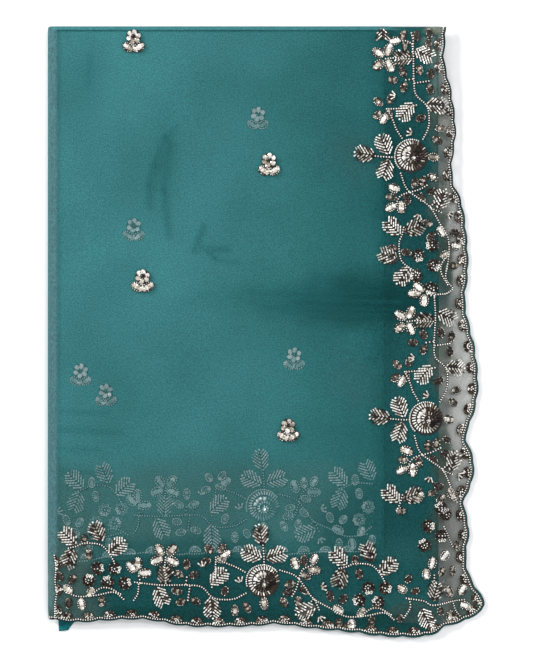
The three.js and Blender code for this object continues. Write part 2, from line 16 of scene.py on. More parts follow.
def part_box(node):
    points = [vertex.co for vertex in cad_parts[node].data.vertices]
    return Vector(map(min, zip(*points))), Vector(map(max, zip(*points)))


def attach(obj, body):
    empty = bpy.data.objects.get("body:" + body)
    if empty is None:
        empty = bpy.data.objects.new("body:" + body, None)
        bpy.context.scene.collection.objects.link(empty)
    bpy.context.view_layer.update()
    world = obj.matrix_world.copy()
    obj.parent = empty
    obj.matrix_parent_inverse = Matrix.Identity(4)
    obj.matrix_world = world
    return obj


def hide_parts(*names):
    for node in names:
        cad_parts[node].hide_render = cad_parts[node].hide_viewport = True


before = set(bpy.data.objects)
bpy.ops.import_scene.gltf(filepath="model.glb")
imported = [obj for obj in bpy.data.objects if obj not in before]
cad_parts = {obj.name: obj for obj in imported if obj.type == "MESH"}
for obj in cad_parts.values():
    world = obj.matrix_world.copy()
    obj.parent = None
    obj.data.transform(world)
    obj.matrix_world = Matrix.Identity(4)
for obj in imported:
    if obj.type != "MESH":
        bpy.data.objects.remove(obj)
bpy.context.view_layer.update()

log = logging.getLogger("saree")

MM = 0.001
BODY = "root"

# Sizes of the bundle, in millimetres, as across and down from the corner where its two folds meet
SECOND_LEFT = 6.2
SECOND_UPPER = 6.2
SECOND_REACH = 12.0
SECOND_DROOP = 9.0
SECOND_DROOP_END = 125.0
SECOND_RIGHT = 336.0
SECOND_LOWER = 519.0
TOP_WALL = 1.2
SHEER_WALL = 0.35
FOLD_RADIUS = 5.0
FOLD_TURN = math.radians(65)
FOLD_START = (FOLD_RADIUS + TOP_WALL) * math.sin(FOLD_TURN)
BEADWORK_ROOM = 0.9
SEAM_GAP = 0.3
STEP_WIDTH = 12.0
SCALLOP_PITCH = 21.7
SCALLOP_RISE = 1.6

# Grain of the cloth: scales of its noises, how much each counts, and the greys that are spread out
SLUB_SCALE = 420
GRAIN_SCALE = 760
CLOUD_SCALE = 9
GRAIN_IN_WEAVE = 0.6
CLOUD_IN_BLOTCH = 0.8
BLOTCH_RANGE = (0.36, 0.64)
SPECKLE_RANGE = (0.35, 0.65)
SPECKLE_STRENGTH = 0.3


class Shape(Enum):
    """The shapes that beadwork is made of."""

    SEED = "seed"
    BUGLE = "bugle"
    SEQUIN = "sequin"
    PATCH = "patch"


@dataclass(frozen=True)
class Fall:
    """Where the top layer leaves the stack and falls."""

    start: float
    width: float
    level: float


@dataclass(frozen=True)
class Crease:
    """A soft ridge pressed into the cloth, from one place to another."""

    across: float
    down: float
    to_across: float
    to_down: float
    half_width: float
    height: float


@dataclass(frozen=True)
class Spot:
    """A place in the repeat of the border: along it, inward from it, and the way a piece points."""

    along: float
    inward: float
    turn: float = 0.0
    tint: float = 0.5
    size: float = 1.0


RIGHT_FALL = Fall(start=387, width=27, level=1.2)
LOWER_FALL = Fall(start=577, width=27, level=3.4)

# Creases: from across and down, to across and down, half width and height
BROAD_CREASES = tuple(Crease(*row) for row in (
    (129, 100, 101, 158, 11, 0.9), (101, 158, 101, 182, 10, 0.7), (121, 122, 116, 200, 10, 0.6),
    (151, 199, 145, 222, 9, 0.6), (157, 223, 190, 235, 10, 0.8), (205, 268, 352, 276, 12, 0.9),
    (232, 291, 340, 288, 10, 0.5), (18, 390, 96, 398, 10, 0.6), (14, 436, 74, 441, 10, 0.5),
))

FINE_CREASES = tuple(Crease(*row) for row in (
    (129, 101, 118, 110, 4.2, 0.8), (118, 110, 106, 139, 3.8, 1.1), (106, 139, 101, 158, 3.6, 1.1),
    (101, 158, 101, 181, 4.0, 0.9), (121, 116, 115, 164, 4.6, 0.8), (115, 164, 121, 211, 4.4, 0.8),
    (156, 199, 146, 225, 3.4, 1.3), (160, 222, 181, 223, 2.9, 1.2), (155, 221, 167, 232, 2.9, 0.9),
    (167, 232, 190, 236, 4.2, 0.5), (203, 265, 330, 267, 3.6, 0.5), (240, 273, 352, 276, 2.9, 0.9),
    (215, 281, 345, 283, 3.4, 0.6), (262, 290, 340, 288, 3.6, 0.5), (12, 384, 60, 386, 3.6, 0.5),
    (10, 402, 74, 405, 3.8, 0.6), (9, 421, 52, 423, 3.6, 0.4), (10, 443, 66, 446, 3.8, 0.5),
    (42, 30, 40, 60, 5.0, 0.4),
))

EDGE_POINTS = (
    (396, -14), (396, 0), (394, 34), (401, 64), (406, 104), (402, 139), (404, 158), (412, 174),
    (418, 214), (419, 244), (416, 274), (419, 294), (426, 324), (429, 364), (424, 389), (417, 410),
    (425, 436), (422, 459), (415, 474), (420, 504), (417, 534), (422, 554), (432, 570), (436, 580),
    (427, 588), (416, 594), (397, 599), (387, 606), (376, 609), (337, 609), (307, 605), (267, 601),
    (227, 596), (207, 598), (167, 599), (137, 598), (97, 591), (57, 592), (27, 594), (0, 591),
    (-14, 591),
)
EDGE_TIP = 23


def smooth(value: np.ndarray | float) -> np.ndarray | float:
    """Eases from 0 to 1 between 0 and 1."""
    held = np.clip(value, 0.0, 1.0)
    return held * held * (3 - 2 * held)


def crease_rise(creases: tuple[Crease, ...], across: np.ndarray, down: np.ndarray) -> np.ndarray:
    """Adds up the ridges at each place.

    Args:
        creases: The ridges.
        across: Places across the bundle.
        down: Places down the bundle.

    Returns:
        The rise at each place, in millimetres.
    """
    rise = np.zeros(np.broadcast(across, down).shape)
    for crease in creases:
        way = np.array([crease.to_across - crease.across, crease.to_down - crease.down], float)
        off = (across - crease.across, down - crease.down)
        share = np.clip((off[0] * way[0] + off[1] * way[1]) / (way @ way), 0, 1)
        distance = np.hypot(off[0] - share * way[0], off[1] - share * way[1])
        rise = rise + crease.height * smooth(1 - distance / crease.half_width)
    return rise


def second_lower(across: np.ndarray | float) -> np.ndarray:
    """Gives how far down the second layer reaches, which is more towards its left."""
    droop = SECOND_DROOP * smooth((SECOND_DROOP_END - across) / SECOND_DROOP_END)
    return SECOND_LOWER + SECOND_REACH + droop


def edge_curve(steps: int = 40) -> tuple[np.ndarray, float]:
    """Follows the edge points with a centripetal curve.

    Args:
        steps: Points on each stretch between two edge points.

    Returns:
        The points of the curve, and how far along it the tip of the corner lies.
    """
    spots = np.array(EDGE_POINTS, float)
    spots = np.vstack([2 * spots[0] - spots[1], spots, 2 * spots[-1] - spots[-2]])
    run = []
    for i in range(1, len(spots) - 2):
        p0, p1, p2, p3 = spots[i - 1: i + 3]
        t1, t2, t3 = np.cumsum([math.sqrt(math.dist(a, b)) for a, b in ((p0, p1), (p1, p2), (p2, p3))])
        for t in np.linspace(t1, t2, steps, endpoint=False):
            a1 = (t1 - t) / t1 * p0 + t / t1 * p1
            a2 = (t2 - t) / (t2 - t1) * p1 + (t - t1) / (t2 - t1) * p2
            a3 = (t3 - t) / (t3 - t2) * p2 + (t - t2) / (t3 - t2) * p3
            b1 = (t2 - t) / t2 * a1 + t / t2 * a2
            b2 = (t3 - t) / (t3 - t1) * a2 + (t - t1) / (t3 - t1) * a3
            run.append((t2 - t) / (t2 - t1) * b1 + (t - t1) / (t2 - t1) * b2)
    run.append(spots[-2])
    points = np.array(run)
    length = np.concatenate([[0], np.cumsum(np.linalg.norm(np.diff(points, axis=0), axis=1))])
    return points, float(length[EDGE_TIP * steps])


@dataclass
class Edge:
    """The scalloped edge of the saree, as far as the folded bundle shows it."""

    inset: float = 0.0
    points: np.ndarray = field(init=False)
    outward: np.ndarray = field(init=False)
    length: np.ndarray = field(init=False)
    scallops: int = field(init=False)
    tip: float = field(init=False)

    def __post_init__(self) -> None:
        """Works out the edge with its scallops."""
        base, self.tip = edge_curve()
        self.length = np.concatenate([[0], np.cumsum(np.linalg.norm(np.diff(base, axis=0), axis=1))])
        tangent = np.gradient(base, axis=0)
        tangent /= np.linalg.norm(tangent, axis=1)[:, None]
        self.outward = np.column_stack([tangent[:, 1], -tangent[:, 0]])
        self.scallops = round(self.length[-1] / SCALLOP_PITCH)
        phase = self.length / self.length[-1] * self.scallops
        bulge = SCALLOP_RISE * np.abs(np.sin(math.pi * phase))
        self.points = base + self.outward * (bulge - self.inset)[:, None]

    def at(self, distance: np.ndarray | float) -> np.ndarray:
        """Gives the places at these distances along the edge."""
        return np.column_stack([np.interp(distance, self.length, self.points[:, k]) for k in (0, 1)])

    def depth(self, across: float, down: float) -> float:
        """Gives how far inside the edge a place lies."""
        off = self.points - (across, down)
        nearest = int(np.argmin((off ** 2).sum(axis=1)))
        return float(off[nearest] @ self.outward[nearest])

    def out_at(self, distance: float) -> np.ndarray:
        """Gives the outward way at a distance along the edge."""
        way = np.array([np.interp(distance, self.length, self.outward[:, k]) for k in (0, 1)])
        return way / np.linalg.norm(way)


@dataclass
class Bundle:
    """Heights and places of the folded bundle."""

    corner: tuple[float, float] = field(init=False)
    hidden_top: float = field(init=False)
    second_top: float = field(init=False)

    def __post_init__(self) -> None:
        """Reads the places of the layers from the frame."""
        low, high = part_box("second_layer")
        self.corner = (low.x / MM - SECOND_LEFT, high.y / MM + SECOND_UPPER)
        self.hidden_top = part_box("hidden_layers")[1].z / MM
        self.second_top = high.z / MM

    def metres(self, across: np.ndarray, down: np.ndarray, height: np.ndarray) -> np.ndarray:
        """Turns places and heights in millimetres into points of the frame."""
        x = (self.corner[0] + np.asarray(across, float)) * MM
        y = (self.corner[1] - np.asarray(down, float)) * MM
        return np.stack(np.broadcast_arrays(x, y, np.asarray(height, float) * MM), axis=-1)

    def rest(self, across: np.ndarray, down: np.ndarray) -> np.ndarray:
        """Gives the height of the underside of the top layer."""
        over_second = smooth((SECOND_RIGHT + STEP_WIDTH - across) / STEP_WIDTH) * smooth(
            (second_lower(across) + STEP_WIDTH - down) / STEP_WIDTH)
        on_second = self.second_top + BEADWORK_ROOM
        on_hidden = self.hidden_top + 2 * SEAM_GAP
        resting = on_hidden + (on_second - on_hidden) * over_second
        resting = resting + crease_rise(BROAD_CREASES, across, down)
        past_right = smooth((across - RIGHT_FALL.start) / RIGHT_FALL.width)
        past_lower = smooth((down - LOWER_FALL.start) / LOWER_FALL.width)
        fallen = resting + (RIGHT_FALL.level - resting) * past_right
        return fallen + (np.minimum(fallen, LOWER_FALL.level) - fallen) * past_lower

    def ripple(self, across: np.ndarray, down: np.ndarray) -> np.ndarray:
        """Gives the small creases and the uneven lie of the cloth."""
        lie = 0.10 * np.sin(across / 23 + 1.3 * np.sin(down / 61)) * np.sin(down / 37 + 0.8)
        lie = lie + 0.05 * np.sin(down / 4.1 + 2.2 * np.sin(across / 47)) * np.sin(across / 29 + 2.0)
        return lie + crease_rise(FINE_CREASES, across, down)

    def sheet_point(self, column: np.ndarray, row: np.ndarray) -> np.ndarray:
        """Gives points of the top layer's underside, in millimetres, for distances past the folds."""
        reach, drop = [], []
        for distance in (column, row):
            turn = np.clip(-distance / FOLD_RADIUS, 0, None)
            flat = FOLD_START + np.maximum(distance, 0)
            reach.append(flat - FOLD_RADIUS * np.sin(turn))
            drop.append(FOLD_RADIUS * (1 - np.cos(turn)))
        across, down = (np.maximum(spot, FOLD_START) for spot in reach)
        height = self.rest(across, down) + self.ripple(across, down) - drop[0] - drop[1]
        return np.stack(np.broadcast_arrays(reach[0], -reach[1], height), axis=-1)

    def sheet_normal(self, column: np.ndarray, row: np.ndarray, step: float = 0.5) -> np.ndarray:
        """Gives the outward ways of the top layer."""
        along = self.sheet_point(column + step, row) - self.sheet_point(column - step, row)
        up = self.sheet_point(column, row - step) - self.sheet_point(column, row + step)
        normal = np.cross(along, up)
        return normal / np.linalg.norm(normal, axis=-1, keepdims=True)

    def on_top(self, across: float, down: float) -> tuple[Vector, Vector]:
        """Gives the point and the way up of the top layer's face at a place."""
        column, row = np.array(across - FOLD_START), np.array(down - FOLD_START)
        normal = self.sheet_normal(column, row)
        point = self.sheet_point(column, row) + normal * TOP_WALL
        return Vector(self.metres(point[0], -point[1], point[2])), Vector(normal)

    def on_second(self, across: float, down: float) -> tuple[Vector, Vector]:
        """Gives the point and the way up of the second layer's face at a place."""
        return Vector(self.metres(across, down, self.second_top)), Vector((0, 0, 1))


def set_inputs(tree: bpy.types.NodeTree, node: bpy.types.Node, inputs: dict[str | int, object]) -> None:
    """Sets or links a node's inputs.

    Args:
        tree: The node's tree.
        node: The node.
        inputs: A constant or another node's output, for each input's name or number.
    """
    for spot, value in inputs.items():
        if isinstance(value, bpy.types.NodeSocket):
            tree.links.new(value, node.inputs[spot])
        else:
            node.inputs[spot].default_value = value


def add_node(tree: bpy.types.NodeTree, kind: str, inputs: dict[str | int, object] | None = None,
             **settings: object) -> bpy.types.Node:
    """Adds a node to a tree.

    Args:
        tree: The tree.
        kind: The node's type.
        inputs: A constant or another node's output, for each input's name or number.
        settings: The node's own properties.

    Returns:
        The node.
    """
    made = tree.nodes.new(kind)
    for name, value in settings.items():
        setattr(made, name, value)
    set_inputs(tree, made, inputs or {})
    return made


@dataclass(frozen=True)
class Zone:
    """A soft oval of the cloth with another colour and density, by across and down on the bundle; some zones
    are painted shade.
    """

    across: float
    down: float
    wide: float
    long: float
    colour: tuple[float, float, float]
    strength: float = 1.0
    soft: float = 0.25
    alpha: float | None = None
    steady: bool = False


@dataclass(frozen=True)
class ClothFinish:
    """Organza: its colour, how much shows through it, its grain, its zones, some of which are painted shade,
    and the painted shade of its creases.
    """

    name: str
    deep: tuple[float, float, float]
    bright: tuple[float, float, float]
    alpha: float = 1.0
    zones: tuple[Zone, ...] = ()
    # Whether the small creases get painted shade in the colour
    paints_crease_shade: bool = False
    roughness: float = 0.8
    bump: float = 0.05
    corner: tuple[float, float] = (-217.5, 304.9)

    def material(self) -> bpy.types.Material:
        """Builds the node tree of the cloth."""
        made = bpy.data.materials.new(self.name)
        made.use_nodes = True
        tree = made.node_tree
        place = add_node(tree, "ShaderNodeTexCoord").outputs["Object"]
        slub_place = add_node(tree, "ShaderNodeMapping", {"Vector": place, "Scale": (0.22, 1.0, 1.0)})
        slub = self._noise(tree, slub_place.outputs["Vector"], SLUB_SCALE, 2)
        grain = self._noise(tree, place, GRAIN_SCALE, 1)
        cloud = self._noise(tree, place, CLOUD_SCALE, 2)
        weave = self._mix(tree, "FLOAT", GRAIN_IN_WEAVE, slub, grain)
        blotch = self._mix(tree, "FLOAT", CLOUD_IN_BLOTCH, weave, cloud)
        ramp = add_node(tree, "ShaderNodeValToRGB", {"Fac": blotch})
        shades = (self.deep, self.bright)
        for element, position, colour in zip(ramp.color_ramp.elements, BLOTCH_RANGE, shades):
            element.position = position
            element.color = (*colour, 1)
        colour, alpha = ramp.outputs["Color"], self.alpha
        warp = self._warped(tree, place)
        for zone in self.zones:
            share = self._share(tree, place if zone.steady else warp, zone)
            colour = self._mix(tree, "RGBA", share, colour, (*zone.colour, 1))
            if zone.alpha is not None:
                alpha = self._mix(tree, "FLOAT", share, alpha, zone.alpha)
        # Painted shade: the small creases are darkened and made denser, led by the crease attribute
        if self.paints_crease_shade:
            line = add_node(tree, "ShaderNodeAttribute", attribute_name="crease").outputs["Fac"]
            colour = self._mix(tree, "RGBA", line, colour, (*CREASE_PAINTED_SHADE, 1))
            alpha = self._mix(tree, "FLOAT", line, alpha, CREASE_PAINTED_SHADE_ALPHA)
        speckle = add_node(tree, "ShaderNodeMapRange", {
            "Value": grain, "From Min": SPECKLE_RANGE[0], "From Max": SPECKLE_RANGE[1]})
        grained = add_node(tree, "ShaderNodeMix", {
            0: SPECKLE_STRENGTH, 6: colour, 7: speckle.outputs["Result"]},
                           data_type="RGBA", blend_type="OVERLAY")
        thread = add_node(tree, "ShaderNodeBump", {
            "Strength": self.bump, "Distance": 0.0003, "Height": weave})
        set_inputs(tree, tree.nodes["Principled BSDF"], {
            "Base Color": grained.outputs[2], "Normal": thread.outputs["Normal"], "Alpha": alpha,
            "Roughness": self.roughness, "Specular IOR Level": 0.12, "Sheen Weight": 0.05,
            "Sheen Roughness": 0.4, "Sheen Tint": (0.5, 0.9, 0.9, 1)})
        return made

    @staticmethod
    def _noise(tree: bpy.types.NodeTree, place: bpy.types.NodeSocket, scale: float,
               detail: float) -> bpy.types.NodeSocket:
        """Makes a noise of one scale at a place and gives its grey."""
        noise = add_node(tree, "ShaderNodeTexNoise", {"Scale": scale, "Detail": detail, "Vector": place})
        return noise.outputs["Fac"]

    @staticmethod
    def _mix(tree: bpy.types.NodeTree, kind: str, share: object, first: object,
             second: object) -> bpy.types.NodeSocket:
        """Mixes two colours or greys.

        Args:
            tree: The tree.
            kind: "FLOAT" or "RGBA".
            share: How much the second counts, a number or a socket.
            first: The first, a value or a socket.
            second: The second, a value or a socket.

        Returns:
            The mixture.
        """
        spot = 2 if kind == "FLOAT" else 6
        mix = add_node(tree, "ShaderNodeMix", {0: share, spot: first, spot + 1: second}, data_type=kind)
        return mix.outputs[0 if kind == "FLOAT" else 2]

    @staticmethod
    def _warped(tree: bpy.types.NodeTree, place: bpy.types.NodeSocket) -> bpy.types.NodeSocket:
        """Shifts places a little, so that zones have uneven sides."""
        sway = add_node(tree, "ShaderNodeTexNoise", {"Scale": 26, "Vector": place})
        centred = add_node(tree, "ShaderNodeVectorMath", {
            0: sway.outputs["Color"], 1: (0.5, 0.5, 0.5)}, operation="SUBTRACT")
        shifted = add_node(tree, "ShaderNodeVectorMath", {
            0: centred.outputs["Vector"], 1: (0.03, 0.03, 0), 2: place}, operation="MULTIPLY_ADD")
        return shifted.outputs["Vector"]

    def _share(self, tree: bpy.types.NodeTree, place: bpy.types.NodeSocket,
               zone: Zone) -> bpy.types.NodeSocket:
        """Says how much of a zone's look counts at each place, from 0 to the zone's strength.

        Args:
            tree: The tree.
            place: The places.
            zone: The zone.

        Returns:
            The share.
        """
        centre = ((self.corner[0] + zone.across) * MM, (self.corner[1] - zone.down) * MM, 0)
        off = add_node(tree, "ShaderNodeVectorMath", {0: place, 1: centre}, operation="SUBTRACT")
        stretch = (1 / (zone.wide * MM), 1 / (zone.long * MM), 0)
        even = add_node(tree, "ShaderNodeVectorMath", {
            0: off.outputs["Vector"], 1: stretch}, operation="MULTIPLY")
        far = add_node(tree, "ShaderNodeVectorMath", {0: even.outputs["Vector"]}, operation="LENGTH")
        share = add_node(tree, "ShaderNodeMapRange", {
            "Value": far.outputs["Value"], "From Min": 1 + zone.soft, "From Max": 1 - zone.soft,
            "To Max": zone.strength}, interpolation_type="SMOOTHSTEP")
        return share.outputs["Result"]


@dataclass(frozen=True)
class BeadFinish:
    """Glass or foil whose colour and shine run with each bead's own tint."""

    name: str
    stops: tuple[tuple[float, tuple[float, float, float]], ...]
    dark_metallic: float
    pale_metallic: float
    roughness: float

    def material(self) -> bpy.types.Material:
        """Builds the node tree of the beads."""
        made = bpy.data.materials.new(self.name)
        made.use_nodes = True
        tree = made.node_tree
        tint = add_node(tree, "ShaderNodeAttribute", attribute_name="tint").outputs["Fac"]
        place = add_node(tree, "ShaderNodeTexCoord").outputs["Object"]
        cloud = add_node(tree, "ShaderNodeTexNoise", {"Scale": 700, "Vector": place}).outputs["Fac"]
        mix = add_node(tree, "ShaderNodeMix", {0: 0.15, 2: tint, 3: cloud})
        ramp = add_node(tree, "ShaderNodeValToRGB", {"Fac": mix.outputs[0]})
        elements = ramp.color_ramp.elements
        while len(elements) < len(self.stops):
            elements.new(0.5)
        for element, (position, colour) in zip(elements, self.stops):
            element.position = position
            element.color = (*colour, 1)
        shine = add_node(tree, "ShaderNodeMapRange", {
            "Value": tint, "To Min": self.dark_metallic, "To Max": self.pale_metallic})
        set_inputs(tree, tree.nodes["Principled BSDF"], {
            "Base Color": ramp.outputs["Color"], "Metallic": shine.outputs["Result"],
            "Roughness": self.roughness, "Coat Weight": 0.3, "Coat Roughness": 0.12})
        return made


FLAP = (0.14, 0.155, 0.115)
PATCH = (0.035, 0.09, 0.08)
DEEP = (0.003, 0.045, 0.043)
# Painted shade along the small creases: its colour, and how dense the cloth is made there
CREASE_PAINTED_SHADE = (0.012, 0.115, 0.125)
CREASE_PAINTED_SHADE_ALPHA = 0.62

TOP_ORGANZA = ClothFinish("top_organza", deep=(0.008, 0.084, 0.087), bright=(0.016, 0.128, 0.132),
                          alpha=0.30, paints_crease_shade=True, zones=(
    Zone(1390, 280, 999, 4000, FLAP, 1.0, 0.004, 0.21),
    Zone(393, 260, 7, 330, (0.05, 0.07, 0.055), 0.6, 0.5, 0.42),
    # Painted shadow: a dark band along the broad creases at the right
    Zone(348, 274, 62, 20, (0.002, 0.055, 0.055), 0.9, 0.8, 0.45),
    Zone(-996, 300, 1006, 9000, (0.088, 0.205, 0.225), 0.97, 0.003, 0.6, True),
    Zone(200, -996, 9000, 1000.2, (0.041, 0.176, 0.186), 0.97, 0.0006, 0.98, True),
    Zone(-996, 300, 1000.2, 9000, (0.052, 0.140, 0.150), 0.97, 0.0006, 0.98, True),
    Zone(385, 172, 9, 20, (0.11, 0.125, 0.10), 0.6, 0.6, 0.55),
    Zone(394, 232, 8, 42, (0.022, 0.06, 0.048), 0.8, 0.6, 0.72),
    Zone(388, 330, 7, 26, (0.10, 0.12, 0.095), 0.55, 0.6, 0.5),
    Zone(394, 430, 8, 34, (0.03, 0.065, 0.05), 0.75, 0.6, 0.65),
    Zone(385, 0, 42, 9, (0.010, 0.07, 0.07), 0.95, 0.4, 0.9),
    Zone(396, 0, 20, 9, (0.15, 0.17, 0.13), 0.9, 0.3, 0.7),
    Zone(150, 625, 400, 42, DEEP, 0.95, 0.12, 0.93),
    Zone(20, 570, 30, 60, (0.10, 0.16, 0.14), 0.5, 0.5),
    Zone(405, 520, 22, 80, (0.06, 0.075, 0.06), 0.7, 0.5, 0.42),
    Zone(425, 578, 26, 16, PATCH, 0.9, 0.3, 0.6),
    Zone(362, 586, 30, 10, PATCH, 0.9, 0.3, 0.6)))
SECOND_ORGANZA = ClothFinish("second_organza", deep=(0.110, 0.415, 0.435), bright=(0.140, 0.50, 0.53),
                             alpha=0.85, zones=(
    # Painted shade: the right side darker, partly a darker tone of the cloth, partly the shade of light
    # falling from the left
    Zone(360, 250, 120, 460, (0.02, 0.15, 0.145), 0.85, 0.9),
    # Painted shadow: the dark band along the broad creases at the right, fading out towards the left
    Zone(342, 274, 76, 25, (0.002, 0.038, 0.038), 0.95, 0.75),
    Zone(260, 272, 95, 15, (0.03, 0.2, 0.205), 0.55, 0.8),
    # Painted shade along two small creases
    Zone(118, 130, 12, 40, (0.05, 0.26, 0.27), 0.35, 0.9),
    Zone(42, 45, 12, 30, (0.05, 0.26, 0.27), 0.3, 0.9),
    Zone(150, 500, 420, 62, (0.13, 0.25, 0.23), 0.8, 0.3),
    Zone(330, 505, 60, 62, (0.02, 0.11, 0.105), 0.8, 0.4),
    Zone(40, 520, 80, 34, (0.13, 0.20, 0.17), 0.6, 0.5),
    Zone(160, 524, 420, 11, (0.04, 0.14, 0.13), 0.8, 0.7),
    Zone(343, 250, 15, 420, (0.008, 0.085, 0.083), 0.95, 0.85),
    Zone(305, 126, 26, 22, (0.09, 0.16, 0.17), 0.5, 0.8),
    Zone(306, 356, 24, 22, (0.09, 0.18, 0.19), 0.45, 0.8)))
HIDDEN_ORGANZA = ClothFinish("hidden_organza", deep=(0.003, 0.026, 0.026), bright=(0.006, 0.043, 0.042),
                             zones=(
    Zone(400, 20, 22, 85, (0.42, 0.44, 0.36), 1.0, 0.25),
    Zone(399, 120, 13, 75, (0.27, 0.28, 0.22), 0.85, 0.5),
    Zone(395, 260, 9, 300, (0.03, 0.06, 0.048), 0.7, 0.6),
    Zone(-993, 300, 1000, 9000, (0.10, 0.34, 0.35), 0.8, 0.001, None, True),
    Zone(130, -3, 215, 10, (0.10, 0.40, 0.42), 0.9, 0.2, None, True),
    Zone(190, 524, 260, 16, (0.03, 0.09, 0.085), 0.7, 0.8),
    Zone(330, 578, 60, 14, PATCH, 0.7, 0.3),
    Zone(20, 560, 26, 60, (0.10, 0.15, 0.13), 0.6, 0.5)))
BINDING_THREAD = ClothFinish("binding_thread", deep=(0.006, 0.040, 0.040), bright=(0.012, 0.065, 0.065))
CORNER_ORGANZA = ClothFinish("corner_organza", deep=(0.003, 0.10, 0.11), bright=(0.010, 0.17, 0.18))
GLASS_BEADS = BeadFinish("glass_beads", dark_metallic=0.7, pale_metallic=0.15, roughness=0.24, stops=(
    (0.0, (0.006, 0.003, 0.002)), (0.3, (0.028, 0.015, 0.008)), (0.5, (0.12, 0.08, 0.05)),
    (0.72, (0.88, 0.84, 0.75)), (1.0, (1.0, 0.98, 0.93))))
SEQUIN_FOIL = BeadFinish("sequin_foil", dark_metallic=0.7, pale_metallic=0.35, roughness=0.3, stops=(
    (0.0, (0.010, 0.007, 0.005)), (0.35, (0.05, 0.04, 0.03)), (0.65, (0.45, 0.40, 0.32)),
    (1.0, (1.0, 0.98, 0.93))))
VEILED_BEADS = BeadFinish("veiled_beads", dark_metallic=0.1, pale_metallic=0.0, roughness=0.4, stops=(
    (0.0, (0.12, 0.24, 0.22)), (0.5, (0.42, 0.60, 0.60)), (1.0, (0.95, 1.0, 1.0))))
# Near-black thread under the beadwork, which also stands in for painted shadow between and round the beads;
# the veiled one lies on the second layer
BACKING_THREAD_AND_SHADOW = BeadFinish("backing_thread_and_shadow", dark_metallic=0.0, pale_metallic=0.0, roughness=0.85, stops=(
    (0.0, (0.003, 0.002, 0.001)), (0.5, (0.006, 0.004, 0.003)), (1.0, (0.014, 0.009, 0.006))))
VEILED_BACKING_AND_SHADOW = BeadFinish("veiled_backing_and_shadow", dark_metallic=0.0, pale_metallic=0.0, roughness=0.85, stops=(
    (0.0, (0.04, 0.14, 0.14)), (1.0, (0.08, 0.20, 0.20))))


def linked_object(name: str, mesh: bpy.types.Mesh) -> bpy.types.Object:
    """Makes an object of a mesh, at the origin of the scene."""
    made = bpy.data.objects.new(name, mesh)
    bpy.context.scene.collection.objects.link(made)
    return made


def mesh_object(name: str, points: np.ndarray, faces: list[tuple[int, ...]],
                material: bpy.types.Material, smooth_shading: bool = True) -> bpy.types.Object:
    """Makes an object of a mesh at the origin.

    Args:
        name: The object's name.
        points: Its points, in metres.
        faces: Its faces, facing out.
        material: Its finish.
        smooth_shading: Whether its faces are shaded smooth.

    Returns:
        The object, linked to the scene.
    """
    mesh = bpy.data.meshes.new(name)
    mesh.from_pydata([tuple(p) for p in np.asarray(points).reshape(-1, 3)], [], faces)
    mesh.materials.append(material)
    mesh.polygons.foreach_set("use_smooth", [smooth_shading] * len(mesh.polygons))
    mesh.update()
    return linked_object(name, mesh)


def shell(under: np.ndarray, over: np.ndarray) -> tuple[np.ndarray, list[tuple[int, ...]]]:
    """Closes two grids of points into a thin wall.

    Args:
        under: The lower grid, rows by columns.
        over: The upper grid.

    Returns:
        The points and the faces of the wall.
    """
    rows, columns = over.shape[:2]
    count = rows * columns
    number = np.arange(count).reshape(rows, columns)
    a, b, c, d = number[:-1, :-1], number[:-1, 1:], number[1:, 1:], number[1:, :-1]
    upper = np.stack([a, d, c, b], axis=-1).reshape(-1, 4) + count
    lower = np.stack([a, b, c, d], axis=-1).reshape(-1, 4)
    rim = np.concatenate([number[0, :-1], number[:-1, -1], number[-1, :0:-1], number[:0:-1, 0]])
    ahead = np.roll(rim, -1)
    side = np.stack([rim, rim + count, ahead + count, ahead], axis=-1)
    points = np.concatenate([under.reshape(-1, 3), over.reshape(-1, 3)])
    return points, [tuple(f) for f in np.concatenate([upper, lower, side]).tolist()]


def dress(piece: bpy.types.Object, nodes: tuple[str, ...] = ()) -> None:
    """Ties a piece to the frame.

    Args:
        piece: The piece.
        nodes: The frame's solids that it stands for.
    """
    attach(piece, BODY)
    if nodes:
        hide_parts(*nodes)
    log.info("%s has %d faces", piece.name, len(piece.data.polygons))


